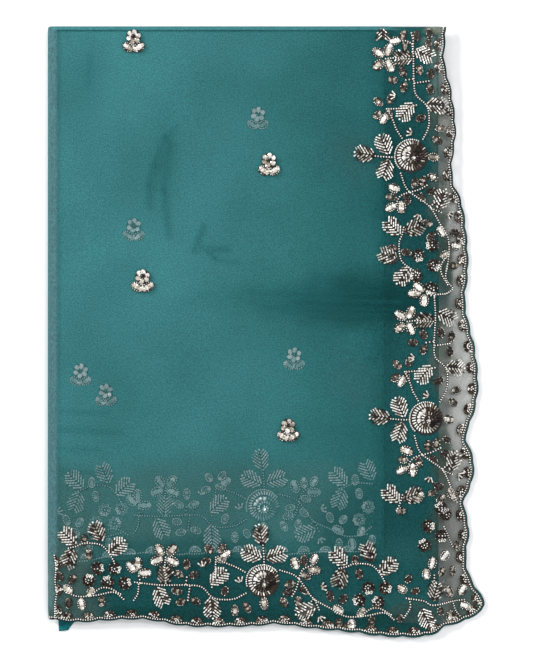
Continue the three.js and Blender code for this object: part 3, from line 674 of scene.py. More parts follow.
@dataclass
class TopLayer:
    """The sheer half panel on top, with its bound scalloped edge."""

    bundle: Bundle
    edge: Edge
    columns: int = 170
    rows: int = 238
    binding_radius: float = 0.85
    binding_sides: int = 6
    binding_pitch: float = 1.8

    def grid(self) -> tuple[np.ndarray, np.ndarray]:
        """Spreads the grid between the two folds and the scalloped edge.

        Returns:
            The distances of each grid point past the side fold and past the upper fold.
        """
        fold_end = -FOLD_TURN * FOLD_RADIUS
        dense = self.edge.points - FOLD_START
        tip = int(np.searchsorted(self.edge.length, self.edge.tip))
        start = int(np.argmax(dense[:, 1] > fold_end))
        stop = len(dense) - int(np.argmax(dense[::-1, 0] > fold_end))
        right = self._even(dense[start:tip + 1], self.rows)
        lower = self._even(dense[tip:stop], self.columns)[::-1]
        right[0, 1] = fold_end
        lower[0, 0] = fold_end
        s = np.linspace(0, 1, self.columns)[None, :, None]
        t = np.linspace(0, 1, self.rows)[:, None, None]
        near = np.array([fold_end, fold_end])
        upper = near + s * (right[0] - near)
        left = near + t * (lower[0] - near)
        spots = (1 - t) * upper + t * lower[None] + (1 - s) * left + s * right[:, None]
        spots = spots - ((1 - s) * (1 - t) * near + s * (1 - t) * right[0]
                         + (1 - s) * t * lower[0] + s * t * lower[-1])
        return spots[..., 0], spots[..., 1]

    @staticmethod
    def _even(points: np.ndarray, count: int) -> np.ndarray:
        """Places points at even distances on a line."""
        length = np.concatenate([[0], np.cumsum(np.linalg.norm(np.diff(points, axis=0), axis=1))])
        stops = np.linspace(0, length[-1], count)
        return np.column_stack([np.interp(stops, length, points[:, k]) for k in (0, 1)])

    def build(self, material: bpy.types.Material, binding: bpy.types.Material) -> bpy.types.Object:
        """Makes the sheet and its binding.

        Args:
            material: The sheer cloth.
            binding: The thread that binds the edge.

        Returns:
            The sheet.
        """
        column, row = self.grid()
        point = self.bundle.sheet_point(column, row)
        normal = self.bundle.sheet_normal(column, row)
        faces_at = [point + normal * lift for lift in (TOP_WALL - SHEER_WALL, TOP_WALL)]
        under, over = (self.bundle.metres(p[..., 0], -p[..., 1], p[..., 2]) for p in faces_at)
        sheet = mesh_object("top_sheet", *shell(under, over), material)
        self._paint_crease_shade(sheet, point)
        dress(sheet, ("top_layer",))
        dress(self.bind(binding))
        return sheet

    @staticmethod
    def _paint_crease_shade(sheet: bpy.types.Object, point: np.ndarray, strength: float = 0.42) -> None:
        """Stores on each point of both faces how far it lies on a small crease, as the share of painted
        crease shade in its colour.
        """
        rise = crease_rise(FINE_CREASES, point[..., 0], -point[..., 1]).ravel()
        shares = np.tile(np.clip(rise * strength, 0, 1), 2)
        sheet.data.attributes.new("crease", "FLOAT", "POINT").data.foreach_set("value", shares)

    def bind(self, material: bpy.types.Material) -> bpy.types.Object:
        """Rolls the binding along the edge as a closed tube.

        Args:
            material: The binding's thread.

        Returns:
            The tube.
        """
        start = float(np.interp(0, self.edge.points[:60, 1], self.edge.length[:60]))
        stops = np.arange(start, self.edge.length[-1] - 14.5, self.binding_pitch)
        spots = self.edge.at(stops)
        rings = []
        for spot, stop in zip(spots, stops):
            centre, up = self.bundle.on_top(*spot)
            out = self.edge.out_at(stop)
            side = Vector((out[0], -out[1], 0))
            middle = centre - up * SHEER_WALL / 2 * MM
            for k in range(self.binding_sides):
                angle = 2 * math.pi * k / self.binding_sides
                rings.append(middle + (side * math.cos(angle) + up * math.sin(angle))
                             * self.binding_radius * MM)
        n = self.binding_sides
        faces = [(i * n + k, i * n + (k + 1) % n, (i + 1) * n + (k + 1) % n, (i + 1) * n + k)
                 for i in range(len(stops) - 1) for k in range(n)]
        faces.append(tuple(range(n - 1, -1, -1)))
        faces.append(tuple(range(len(rings) - n, len(rings))))
        return mesh_object("edge_binding", np.array(rings), faces, material)


@dataclass
class SecondLayer:
    """The other half of the panel, under the top layer."""

    bundle: Bundle
    columns: int = 76
    rows: int = 116
    tuck: float = 2.4
    scallop_rise: float = 2.0
    wall: float = 0.4

    def build(self, material: bpy.types.Material) -> bpy.types.Object:
        """Makes the sheet.

        Args:
            material: The sheer cloth.

        Returns:
            The sheet.
        """
        across = np.linspace(SECOND_LEFT - self.tuck, SECOND_RIGHT, self.columns)[None, :]
        share = np.linspace(0, 1, self.rows)[:, None]
        wave = np.abs(np.sin(math.pi * (across - SECOND_LEFT) / SCALLOP_PITCH))
        lower = second_lower(across) - self.scallop_rise * (1 - wave)
        down = SECOND_UPPER - self.tuck + share * (lower - SECOND_UPPER + self.tuck)
        across = np.broadcast_to(across, down.shape)
        lie = 0.12 * np.sin(across / 31 + 0.6) * np.sin(down / 43)
        over = self.bundle.metres(across, down, self.bundle.second_top - 0.12 + lie)
        under = over - np.array([0, 0, self.wall * MM])
        sheet = mesh_object("second_sheet", *shell(under, over), material)
        dress(sheet, ("second_layer",))
        return sheet


@dataclass(frozen=True)
class Reach:
    """How far one hidden panel reaches on its four sides."""

    left: float
    right: float
    upper: float
    lower: float


@dataclass
class HiddenPanels:
    """The folded panels that the bundle hides, layered at their edges."""

    bundle: Bundle
    reaches: tuple[Reach, ...] = (
        Reach(left=2.4, right=389.0, upper=2.6, lower=587.4),
        Reach(left=1.6, right=389.9, upper=1.8, lower=589.3),
        Reach(left=0.8, right=391.2, upper=1.0, lower=591.2),
        Reach(left=1.0, right=390.8, upper=1.3, lower=590.0),
        Reach(left=2.0, right=390.0, upper=1.5, lower=586.8),
        Reach(left=1.3, right=390.9, upper=2.2, lower=588.3),
        Reach(left=1.2, right=390.6, upper=1.7, lower=587.0),
        Reach(left=2.2, right=388.8, upper=1.0, lower=584.3),
        Reach(left=1.6, right=390.1, upper=1.9, lower=583.2),
        Reach(left=1.5, right=390.3, upper=2.0, lower=581.6),
        Reach(left=6.0, right=389.2, upper=6.1, lower=579.8),
        Reach(left=6.4, right=388.2, upper=6.4, lower=578.0),
    )
    corner: float = 7.0
    side_step: float = 5.0
    section: tuple[tuple[float, float], ...] = (
        (0.04, 0.55), (0.28, 0.08), (0.5, 0.0), (0.72, 0.08), (0.96, 0.55))

    def outline(self, reach: Reach, level: int) -> np.ndarray:
        """Draws the outline of one panel, with uneven sides.

        Args:
            reach: The panel's sides.
            level: Its place in the stack.

        Returns:
            The outline's places and the way out at each, anticlockwise from above.
        """
        r = self.corner
        centres = (
            (reach.right - r, reach.lower - r, 270), (reach.right - r, reach.upper + r, 0),
            (reach.left + r, reach.upper + r, 90), (reach.left + r, reach.lower - r, 180))
        spots = []
        for k, (x, y, start) in enumerate(centres):
            for turn in np.radians(start + np.linspace(0, 90, 6)):
                out = (math.cos(turn), -math.sin(turn))
                spots.append((x + r * out[0], y + r * out[1], *out))
            nx, ny, following = centres[(k + 1) % 4]
            turn = math.radians(following)
            out = (math.cos(turn), -math.sin(turn))
            first = np.array(spots[-1][:2])
            last = np.array((nx + r * out[0], ny + r * out[1]))
            count = int(math.dist(first, last) / self.side_step)
            for i in range(1, count):
                share = i / count
                spot = first + (last - first) * share
                sway = 0.45 * math.sin(math.pi * share) * math.sin(9 * share + 1.9 * level + 1.7 * k)
                sway += 0.18 * math.sin(41 * share + 3.1 * level)
                spots.append((*(spot + np.array(out) * sway), *out))
        return np.array(spots)

    def build(self, material: bpy.types.Material) -> bpy.types.Object:
        """Makes the stack of panels.

        Args:
            material: The cloth.

        Returns:
            The stack.
        """
        points, faces = [], []
        height = self.bundle.hidden_top / len(self.reaches)
        for level, reach in enumerate(self.reaches):
            outline = self.outline(reach, level)
            first, n = len(points), len(outline)
            for rise, inset in self.section:
                spots = outline[:, :2] - outline[:, 2:] * inset
                level_height = (level + rise) * height
                points.extend(self.bundle.metres(spots[:, 0], spots[:, 1], level_height).tolist())
            for ring in range(len(self.section) - 1):
                a = first + ring * n
                faces.extend((a + i, a + (i + 1) % n, a + n + (i + 1) % n, a + n + i) for i in range(n))
            faces.append(tuple(first + i for i in range(n - 1, -1, -1)))
            faces.append(tuple(len(points) - n + i for i in range(n)))
        stack = mesh_object("hidden_panels", np.array(points), faces, material)
        dress(stack, ("hidden_layers",))
        return stack


@dataclass
class LooseCorner:
    """The folded corner of a lower panel that sticks out at the lower left."""

    bundle: Bundle
    steps: int = 12
    wall: float = 0.5

    def build(self, material: bpy.types.Material) -> bpy.types.Object:
        """Makes the corner, with the ridge of its fold.

        Args:
            material: The cloth.

        Returns:
            The corner.
        """
        s = np.linspace(0, 1, self.steps)[None, :]
        t = np.linspace(0, 1, self.steps)[:, None]
        left = 9.0 + 1.0 * t
        right = 31.0 - 12.0 * t
        across = left + s * (right - left)
        down = 590.1 + t * (15.9 - 1.0 * s)
        fold = np.abs(s - 0.55)
        height = 0.35 + 0.7 * smooth(1 - fold / 0.35) + 0.12 * np.sin(9 * t)
        over = self.bundle.metres(across, down, height + self.wall - 0.2)
        under = self.bundle.metres(across, down, height - 0.2)
        made = mesh_object("loose_corner_cloth", *shell(under, over), material)
        dress(made, ("loose_corner",))
        return made


class Trees:
    """The node trees that lay beads at points and string them along lines."""

    @staticmethod
    def _start(name: str, sockets: tuple[tuple[str, str, float], ...]
               ) -> tuple[bpy.types.NodeTree, bpy.types.NodeOutputs]:
        """Starts a tree that takes and gives a geometry and takes a material.

        Args:
            name: The tree's name.
            sockets: The name, kind and usual value of each other input.

        Returns:
            The tree and what its inputs give.
        """
        tree = bpy.data.node_groups.new(name, "GeometryNodeTree")
        tree.interface.new_socket("Geometry", in_out="OUTPUT", socket_type="NodeSocketGeometry")
        for label, kind, value in (("Geometry", "Geometry", None), *sockets, ("Material", "Material", None)):
            made = tree.interface.new_socket(label, in_out="INPUT", socket_type=f"NodeSocket{kind}")
            if value is not None:
                made.default_value = value
        return tree, tree.nodes.new("NodeGroupInput").outputs

    @staticmethod
    def _bead(tree: bpy.types.NodeTree, shape: Shape) -> bpy.types.NodeSocket:
        """Makes one bead of unit size, its length on X, and gives its mesh."""
        if shape is Shape.SEED:
            ball = add_node(tree, "GeometryNodeMeshUVSphere", {"Segments": 7, "Rings": 4, "Radius": 0.5})
            return ball.outputs["Mesh"]
        if shape is Shape.SEQUIN:
            cup = add_node(tree, "GeometryNodeMeshCone", {
                "Vertices": 10, "Radius Top": 0.16, "Radius Bottom": 0.5, "Depth": 1.0})
            return cup.outputs["Mesh"]
        tube = add_node(tree, "GeometryNodeMeshCylinder", {
            "Vertices": 7 if shape is Shape.BUGLE else 18, "Radius": 0.5, "Depth": 1.0})
        if shape is Shape.PATCH:
            return tube.outputs["Mesh"]
        turn = add_node(tree, "GeometryNodeTransform", {
            "Geometry": tube.outputs["Mesh"], "Rotation": (0, math.pi / 2, 0)})
        return turn.outputs["Geometry"]

    @staticmethod
    def _finish(tree: bpy.types.NodeTree, placed: bpy.types.NodeSocket, given: bpy.types.NodeOutputs,
                smooth_shading: bool) -> None:
        """Realizes what is placed and gives it its material.

        Args:
            tree: The tree.
            placed: What is placed.
            given: What the tree's inputs give.
            smooth_shading: Whether the faces are shaded smooth.
        """
        real = add_node(tree, "GeometryNodeRealizeInstances", {"Geometry": placed})
        shade = add_node(tree, "GeometryNodeSetShadeSmooth", {
            "Geometry": real.outputs["Geometry"], "Shade Smooth": smooth_shading})
        coat = add_node(tree, "GeometryNodeSetMaterial", {
            "Geometry": shade.outputs["Geometry"], "Material": given["Material"]})
        add_node(tree, "NodeGroupOutput", {"Geometry": coat.outputs["Geometry"]})

    @classmethod
    def scatter(cls, shape: Shape) -> bpy.types.NodeTree:
        """Builds the tree that lays one bead on each point, by the point's own turn and size.

        Args:
            shape: Which bead.

        Returns:
            The tree, with the inputs Tilt, Seed and Material.
        """
        tree, given = cls._start(f"lay_{shape.value}", (("Tilt", "Float", 0.1), ("Seed", "Int", 1)))
        turn, size = (add_node(tree, "GeometryNodeInputNamedAttribute", {"Name": label},
                               data_type="FLOAT_VECTOR").outputs["Attribute"] for label in ("turn", "size"))
        chance = add_node(tree, "FunctionNodeRandomValue", {
            0: (-1, -1, -0.3), 1: (1, 1, 0.3), "Seed": given["Seed"]}, data_type="FLOAT_VECTOR")
        loose = add_node(tree, "ShaderNodeVectorMath", {
            0: chance.outputs[0], "Scale": given["Tilt"]}, operation="SCALE")
        total = add_node(tree, "ShaderNodeVectorMath", {0: turn, 1: loose.outputs["Vector"]})
        euler = add_node(tree, "FunctionNodeEulerToRotation", {0: total.outputs["Vector"]})
        lay = add_node(tree, "GeometryNodeInstanceOnPoints", {
            "Points": given["Geometry"], "Instance": cls._bead(tree, shape),
            "Rotation": euler.outputs[0], "Scale": size})
        cls._finish(tree, lay.outputs["Instances"], given, shape is Shape.SEED)
        return tree

    @classmethod
    def ribbon(cls) -> bpy.types.NodeTree:
        """Builds the tree that lays a flat thread along lines; under the stems it is the dark thread that
        also stands in for painted shadow.

        Returns:
            The tree, with the inputs Width, Height and Material.
        """
        tree, given = cls._start("lay_thread_and_shadow", (("Width", "Float", 0.002), ("Height", "Float", 0.0004)))
        line = add_node(tree, "GeometryNodeMeshToCurve", {"Mesh": given["Geometry"]})
        level = add_node(tree, "GeometryNodeSetCurveNormal", {"Curve": line.outputs["Curve"]}, mode="Z_UP")
        face = add_node(tree, "GeometryNodeCurvePrimitiveQuadrilateral", {
            "Width": given["Width"], "Height": given["Height"]})
        body = add_node(tree, "GeometryNodeCurveToMesh", {
            "Curve": level.outputs["Curve"], "Profile Curve": face.outputs["Curve"], "Fill Caps": True})
        cls._finish(tree, body.outputs["Mesh"], given, False)
        return tree

    @classmethod
    def string(cls) -> bpy.types.NodeTree:
        """Builds the tree that strings seed beads along lines at an even pitch.

        Returns:
            The tree, with the inputs Pitch, Bead, Seed, Low tint, High tint and Material.
        """
        tree, given = cls._start("string_beads", (
            ("Pitch", "Float", 0.0022), ("Bead", "Float", 0.0019), ("Seed", "Int", 1),
            ("Low tint", "Float", 0.5), ("High tint", "Float", 1.0)))
        line = add_node(tree, "GeometryNodeMeshToCurve", {"Mesh": given["Geometry"]})
        even = add_node(tree, "GeometryNodeResampleCurve", {
            "Curve": line.outputs["Curve"], "Length": given["Pitch"]}, mode="LENGTH")
        tint = add_node(tree, "FunctionNodeRandomValue", {
            2: given["Low tint"], 3: given["High tint"], "Seed": given["Seed"]})
        keep = add_node(tree, "GeometryNodeStoreNamedAttribute", {
            "Name": "tint", "Geometry": even.outputs["Curve"], "Value": tint.outputs[1]},
                        data_type="FLOAT", domain="POINT")
        way = add_node(tree, "GeometryNodeInputTangent")
        align = add_node(tree, "FunctionNodeAlignRotationToVector", {
            "Vector": way.outputs["Tangent"]}, axis="X")
        size = add_node(tree, "ShaderNodeVectorMath", {
            0: (0.76, 1.0, 0.95), "Scale": given["Bead"]}, operation="SCALE")
        lay = add_node(tree, "GeometryNodeInstanceOnPoints", {
            "Points": keep.outputs["Geometry"], "Instance": cls._bead(tree, Shape.SEED),
            "Rotation": align.outputs["Rotation"], "Scale": size.outputs["Vector"]})
        cls._finish(tree, lay.outputs["Instances"], given, True)
        return tree


def run_tree(made: bpy.types.Object, tree: bpy.types.NodeTree, values: dict[str, object]) -> None:
    """Runs a node tree on an object and keeps the result as its mesh.

    Args:
        made: The object.
        tree: The tree.
        values: The tree's inputs, by name.
    """
    modifier = made.modifiers.new("beads", "NODES")
    modifier.node_group = tree
    for item in tree.interface.items_tree:
        if item.item_type == "SOCKET" and item.in_out == "INPUT" and item.name in values:
            modifier[item.identifier] = values[item.name]
    made.update_tag()
    graph = bpy.context.evaluated_depsgraph_get()
    mesh = bpy.data.meshes.new_from_object(made.evaluated_get(graph))
    made.modifiers.remove(modifier)
    made.data = mesh


class Ground(Enum):
    """The layer that beadwork is sewn on."""

    TOP = "top"
    SECOND = "second"


@dataclass
class Stitches:
    """Beads and lines of beads waiting to be made, all on one layer."""

    bundle: Bundle
    ground: Ground = Ground.TOP
    thin: float = 1.0
    beads: dict[Shape, list[tuple]] = field(default_factory=lambda: {shape: [] for shape in Shape})
    lines: list[list[Vector]] = field(default_factory=list)
    chance: random.Random = field(default_factory=lambda: random.Random(7))

    def foot(self, across: float, down: float) -> tuple[Vector, Vector]:
        """Gives the point and the way up of the layer at a place."""
        if self.ground is Ground.TOP:
            return self.bundle.on_top(across, down)
        return self.bundle.on_second(across, down)

    def add(self, shape: Shape, across: float, down: float, heading: float, size: tuple[float, float, float],
            tint: float, lift: float = 0.0, pitch: float = 0.0) -> None:
        """Adds one bead.

        Args:
            shape: Which bead.
            across: Its place across the bundle.
            down: Its place down the bundle.
            heading: The way it points, in degrees anticlockwise from +X.
            size: Its length, width and height, in millimetres.
            tint: Where it lies on its finish's colours.
            lift: How far its foot lies above the layer, in millimetres.
            pitch: How far its far end is raised, in degrees.
        """
        point, up = self.foot(across, down)
        ahead = Vector((math.cos(math.radians(heading)), math.sin(math.radians(heading)), 0))
        ahead = (ahead - up * ahead.dot(up)).normalized()
        turn = Matrix((ahead, up.cross(ahead), up)).transposed()
        turn = turn @ Matrix.Rotation(-math.radians(pitch), 3, "Y")
        high = size[2] * self.thin
        centre = point + up * (lift * self.thin + high / 2 + 0.05) * MM
        shade = min(1.0, max(0.0, tint + self.chance.uniform(-0.12, 0.12)))
        scale = (size[0] * MM, size[1] * MM, high * MM)
        self.beads[shape].append((tuple(centre), tuple(turn.to_euler()), scale, shade))

    def line(self, spots: list[tuple[float, float]], lift: float = 0.95, step: float = 2.0) -> None:
        """Adds a line of seed beads through places, rounded between them.

        Args:
            spots: The places that the line passes, across and down.
            lift: The height of the beads' middles above the layer.
            step: How close the line follows the layer.
        """
        points = np.array(spots, float)
        if len(points) > 2:
            ends = np.vstack([2 * points[0] - points[1], points, 2 * points[-1] - points[-2]])
            run = []
            for i in range(1, len(ends) - 2):
                a, b, c, d = ends[i - 1: i + 3]
                for t in np.linspace(0, 1, 8, endpoint=False):
                    run.append(0.5 * (2 * b + (c - a) * t + (2 * a - 5 * b + 4 * c - d) * t ** 2
                                      + (3 * b - a - 3 * c + d) * t ** 3))
            points = np.vstack([run, points[-1:]])
        length = np.concatenate([[0], np.cumsum(np.linalg.norm(np.diff(points, axis=0), axis=1))])
        stops = np.linspace(0, length[-1], max(2, round(length[-1] / step) + 1))
        laid = []
        for stop in stops:
            foot, up = self.foot(*(float(np.interp(stop, length, points[:, k])) for k in (0, 1)))
            laid.append(foot + up * lift * self.thin * MM)
        self.lines.append(laid)

    def make(self, name: str, shape: Shape, tree: bpy.types.NodeTree, material: bpy.types.Material,
             tilt: float, seed: int) -> bpy.types.Object | None:
        """Makes all the beads of one shape as one piece.

        Args:
            name: The piece's name.
            shape: Which bead.
            tree: The tree that lays it.
            material: Its finish.
            tilt: How far each bead may lean, in radians.
            seed: The seed of the leaning.

        Returns:
            The piece, or None where there are no such beads.
        """
        rows = self.beads[shape]
        if not rows:
            return None
        mesh = bpy.data.meshes.new(name)
        mesh.from_pydata([row[0] for row in rows], [], [])
        for label, column in (("turn", 1), ("size", 2)):
            values = mesh.attributes.new(label, "FLOAT_VECTOR", "POINT")
            values.data.foreach_set("vector", np.array([row[column] for row in rows], float).ravel())
        tints = mesh.attributes.new("tint", "FLOAT", "POINT")
        tints.data.foreach_set("value", [row[3] for row in rows])
        made = linked_object(name, mesh)
        run_tree(made, tree, {"Tilt": tilt, "Seed": seed, "Material": material})
        return made

    def along_lines(self, name: str, tree: bpy.types.NodeTree, values: dict[str, object],
                    sink: float = 0.0) -> bpy.types.Object | None:
        """Makes what runs along all the lines as one piece.

        Args:
            name: The piece's name.
            tree: The tree that strings beads or lays thread.
            values: The tree's inputs.
            sink: How far below the line it lies, in millimetres.

        Returns:
            The piece, or None where there are no lines.
        """
        if not self.lines:
            return None
        points, edges = [], []
        for laid in self.lines:
            first = len(points)
            points.extend((p.x, p.y, p.z - sink * self.thin * MM) for p in laid)
            edges.extend((first + i, first + i + 1) for i in range(len(laid) - 1))
        mesh = bpy.data.meshes.new(name)
        mesh.from_pydata(points, edges, [])
        made = linked_object(name, mesh)
        run_tree(made, tree, values)
        return made


@dataclass
class Motifs:
    """The figures of the embroidery, sewn into a set of stitches."""

    stitches: Stitches
    tube: float = 1.3
    tube_length: float = 2.6
    row_pitch: float = 3.35
    slant: float = 47.0

    def _at(self, across: float, down: float, heading: float, x: float, y: float) -> tuple[float, float]:
        """Turns a place in a figure's own measures into a place on the bundle."""
        turn = math.radians(heading)
        cos, sin = math.cos(turn), math.sin(turn)
        return across + x * cos - y * sin, down - x * sin - y * cos

    def _bugle(self, across: float, down: float, heading: float, x: float, y: float, slant: float,
               length: float, tint: float, lift: float = 0.3, pitch: float = 0.0) -> None:
        """Lays a tube bead at a place in a figure's own measures.

        Args:
            across: The figure's middle across the bundle.
            down: Its middle down the bundle.
            heading: The way the figure points.
            x: The bead's place along the figure.
            y: Its place to the figure's left.
            slant: The way it points, from the figure's own.
            length: Its length.
            tint: Where it lies on its colours.
            lift: Its height above the layer.
            pitch: How far its far end is raised.
        """
        self.stitches.add(Shape.BUGLE, *self._at(across, down, heading, x, y), heading + slant,
                          (length, self.tube, self.tube), tint, lift, pitch)

    def _seed(self, across: float, down: float, angle: float, reach: float, tint: float, size: float,
              lift: float = 0.3) -> None:
        """Lays a seed bead at an angle and a distance from a middle."""
        self.stitches.add(Shape.SEED, *self._at(across, down, angle, reach, 0), angle,
                          (size, size, size * 0.9), tint, lift)

    def _backing(self, across: float, down: float, heading: float, length: float, width: float,
                 height: float = 0.3, tint: float = 0.5) -> None:
        """Lays the dark thread under a figure, which also stands in for the painted shadow between and round
        its beads.
        """
        self.stitches.add(Shape.PATCH, across, down, heading, (length, width, height), tint)

    def leaf(self, across: float, down: float, heading: float, tint: float = 0.4, length: float = 21.5,
             width: float = 16) -> None:
        """Sews a leaf of slanting rows on both sides of its midrib.

        Args:
            across: The leaf's middle across the bundle.
            down: Its middle down the bundle.
            heading: The way its tip points.
            tint: Where its beads lie on their colours.
            length: Its length.
            width: Its width.
        """
        middle = self._at(across, down, heading, -0.8, 0)
        self._backing(*middle, heading, length * 0.86, width * 0.84, 0.3, 0.2)
        chance = self.stitches.chance
        rise, run = math.sin(math.radians(self.slant)), math.cos(math.radians(self.slant))
        rows = int((length - 3) / self.row_pitch) + 1
        for hand in (-1, 1):
            for row in range(rows):
                start = -length / 2 + 0.4 + self.row_pitch * (row + 0.2 * (hand + 1) / 2)
                share = (start + length / 2) / length
                room = width / 2 * (0.62 + 0.42 * math.sin(math.pi * min(1.0, share * 1.25 + 0.1)))
                reach = min(room / rise, (length / 2 - start) / run)
                count = max(1, round(reach / self.tube_length))
                each = reach / count
                for i in range(count):
                    along = 0.35 + (i + 0.5) * each
                    shade = tint + chance.choice((-0.3, 0.0, 0.05, 0.15, 0.2))
                    self._bugle(across, down, heading, start + along * run, hand * (0.25 + along * rise),
                                hand * self.slant, each - 0.45, shade)
        if chance.random() < 0.35:
            self._seed(across, down, heading, length * 0.5, 1.0, 2.3)

    def petal(self, across: float, down: float, heading: float, tint: float, size: float = 1.0) -> None:
        """Sews a petal: a row of overlapping sequins in a ring of small beads.

        Args:
            across: The petal's middle across the bundle.
            down: Its middle down the bundle.
            heading: The way its tip points.
            tint: Where its sequins lie on their colours.
            size: Its share of the usual size.
        """
        chance = self.stitches.chance
        size *= 1.12 if tint > 0.5 else 0.9
        veiled = self.stitches.ground is Ground.SECOND
        rim_tint = (0.95 if veiled else 0.48) + tint * 0.3
        tint *= 0.6 if veiled else 1.0
        length, width = 10.8 * size * chance.uniform(0.92, 1.08), (7.6 if tint > 0.5 else 7.0) * size
        self._backing(across, down, heading, length + 1.8, width + 1.8, 0.25, 0.3)
        for i in range(4):
            x = length * (-0.31 + 0.205 * i)
            wide = width * (0.54, 0.66, 0.66, 0.54)[i]
            shade = tint + chance.choice((-0.2, 0.0, 0.05, 0.1) if tint > 0.5 else (-0.2, -0.1, 0.0, 0.35))
            self.stitches.add(Shape.SEQUIN, *self._at(across, down, heading, x, 0), heading,
                              (3.8 * size, wide, 0.5), shade, 0.35 + 0.14 * i, 9)
        rim = 15
        for i in range(rim):
            angle = 2 * math.pi * (i + 0.5) / rim
            x, y = 0.5 * length * math.cos(angle), 0.5 * width * math.sin(angle)
            shade = rim_tint + chance.uniform(-0.25, 0.2)
            self.stitches.add(Shape.SEED, *self._at(across, down, heading, x, y), heading,
                              (1.3, 1.3, 1.2), shade, 0.2)

    def round_flower(self, across: float, down: float, tint: float = 0.28, radius: float = 6.4) -> None:
        """Sews a round flower: looped lobes round a ring of bright beads.

        Args:
            across: Its middle across the bundle.
            down: Its middle down the bundle.
            tint: Where its lobes lie on their colours.
            radius: Its radius.
        """
        chance = self.stitches.chance
        self._backing(across, down, 0, radius * 2 - 0.6, radius * 2 - 0.6)
        lobes = 8
        turn = chance.uniform(0, 45)
        bright = chance.randrange(lobes)
        for i in range(lobes):
            angle = turn + 360 * i / lobes
            # Painted highlight: two neighbouring lobes get paler beads
            painted_glint = 0.6 if (i - bright) % lobes < 2 else 0.0
            for side in (-13, 13):
                spot = self._at(across, down, angle + side, radius * 0.76, 0)
                self._bugle(*spot, angle, 0, 0, side * 1.6, 2.3, tint + painted_glint + chance.uniform(-0.1, 0.1))
            self._seed(across, down, angle, radius * 0.98, tint + 0.25 + painted_glint, 1.4)
            inner = chance.choice((0.3, 0.9, 1.0)) if tint < 0.5 else chance.choice((0.1, 0.2, 0.7))
            self._seed(across, down, angle + 20, radius * 0.47, inner, 1.35, 0.6)
        self._seed(across, down, 0, 0, 0.9, 1.6, 0.7)

    def rosette(self, across: float, down: float, heading: float) -> None:
        """Sews the raised rosette: rings of radial loops round an offset swirl.

        Args:
            across: Its middle across the bundle.
            down: Its middle down the bundle.
            heading: The way that its swirl is offset, which also sets the side whose beads are painted paler
                as if lit.
        """
        chance = self.stitches.chance
        for size, height in ((33.0, 0.5), (28.5, 1.3), (22.0, 2.0), (14.0, 2.5)):
            self._backing(across, down, 0, size, size, height, 0.9)
        turn = math.radians(heading)
        angle, reach = 0.0, 14.7
        while reach > 3.4:
            reach = 14.7 - 3.6 * angle / 360
            shift = 0.26 * (14.7 - reach)
            # Painted light: the swirl's beads are paler on one side, by a cosine of their angle; the outer
            # turn is paler as a whole
            outer_tone_and_side_light = 0.38 * math.cos(math.radians(angle) - turn + 2.6) + (0.35 if angle < 340 else 0.0)
            self._bugle(across + shift * math.cos(turn), down - shift * math.sin(turn), angle, reach, 0,
                        14 + chance.uniform(-6, 6), 3.7 if angle < 360 else 2.6,
                        0.38 + outer_tone_and_side_light + chance.uniform(-0.15, 0.25), 0.45 + 0.24 * (14.7 - reach), -16)
            angle += math.degrees(2.65 / reach)
        for i in range(24):
            self._seed(across, down, math.degrees(turn) + 95 + 7 * i, 16.7, 0.8, 1.7)
        x, y = across + 3.0 * math.cos(turn), down - 3.0 * math.sin(turn)
        for i in range(9):
            self._seed(x, y, 47 * i, 0.9 + 0.32 * i, 0.25 + 0.07 * i, 1.6, 2.6)
        for i in range(4):
            side = turn + math.pi + 0.5 * (i - 1.5)
            self.stitches.add(Shape.SEQUIN, across + 7.5 * math.cos(side), down - 7.5 * math.sin(side),
                              math.degrees(side), (4.6, 3.6, 0.9), 0.85 + 0.05 * i, 2.6, 16)
        self.stitches.add(Shape.SEQUIN, x, y, heading, (3.6, 3.0, 0.9), 1.0, 3.4, 14)

    def spray(self, across: float, down: float, heading: float) -> None:
        """Sews a small spray of three tube beads with bright ends."""
        self._backing(*self._at(across, down, heading, 4.2, 0), heading, 6.5, 6.5, 0.2)
        for slant in (-38, 0, 38):
            self._bugle(across, down, heading + slant, 2.9, 0, 0, 2.6, 0.7)
            self._bugle(across, down, heading + slant, 5.7, 0, 0, 2.2, 0.85)

    def half_flower(self, across: float, down: float, heading: float) -> None:
        """Sews half a flower, fanned inward from the bead line of the edge."""
        chance = self.stitches.chance
        self._backing(*self._at(across, down, heading, 2.8, 0), heading, 7.4, 11.4)
        bright = chance.randrange(8)
        for i in range(7):
            slant = -81 + 27 * i
            # Painted highlight: at most one spoke of the fan gets paler beads
            painted_glint = 0.55 if i == bright else 0.0
            shade = 0.3 + painted_glint + chance.uniform(-0.1, 0.3)
            self._bugle(across, down, heading + slant, 4.9, 0, 0, 2.3, shade)
            self._seed(across, down, heading + slant + 13, 5.6, 0.3 + painted_glint + chance.uniform(0, 0.35), 1.5)
            self._seed(across, down, heading + slant, 2.7, chance.choice((0.4, 0.9, 1.0)), 1.4, 0.6)
        self._seed(across, down, heading, 0.6, 0.9, 1.8, 0.5)

    def field_sprig(self, across: float, down: float) -> None:
        """Sews a sprig of the field: a round flower over two petals."""
        chance = self.stitches.chance
        self._backing(across, down - 4.8, 0, 14.6, 14.6)
        for i in range(6):
            lobe = 60 * i + 20 + chance.uniform(-6, 6)
            self.stitches.add(Shape.SEQUIN, *self._at(across, down - 4.8, lobe, 4.4, 0), lobe,
                              (6.2, 5.2, 0.6), chance.choice((0.7, 0.85, 0.95)), 0.4 + 0.1 * i, 14)
            self._seed(across, down - 4.8, lobe + 30, 2.3, 0.08, 1.4, 1.3)
            self._seed(across, down - 4.8, lobe + 30, 4.9, 0.15, 1.5, 1.3)
        self._seed(across, down - 4.8, 0, 0, 0.3, 1.5, 1.4)
        self.stitches.line([(across, down + 1), (across, down + 6)])
        for hand in (-1, 1):
            self.petal(across + hand * 5.3, down + 5.4, 90 - hand * 58, 0.8, 0.92)


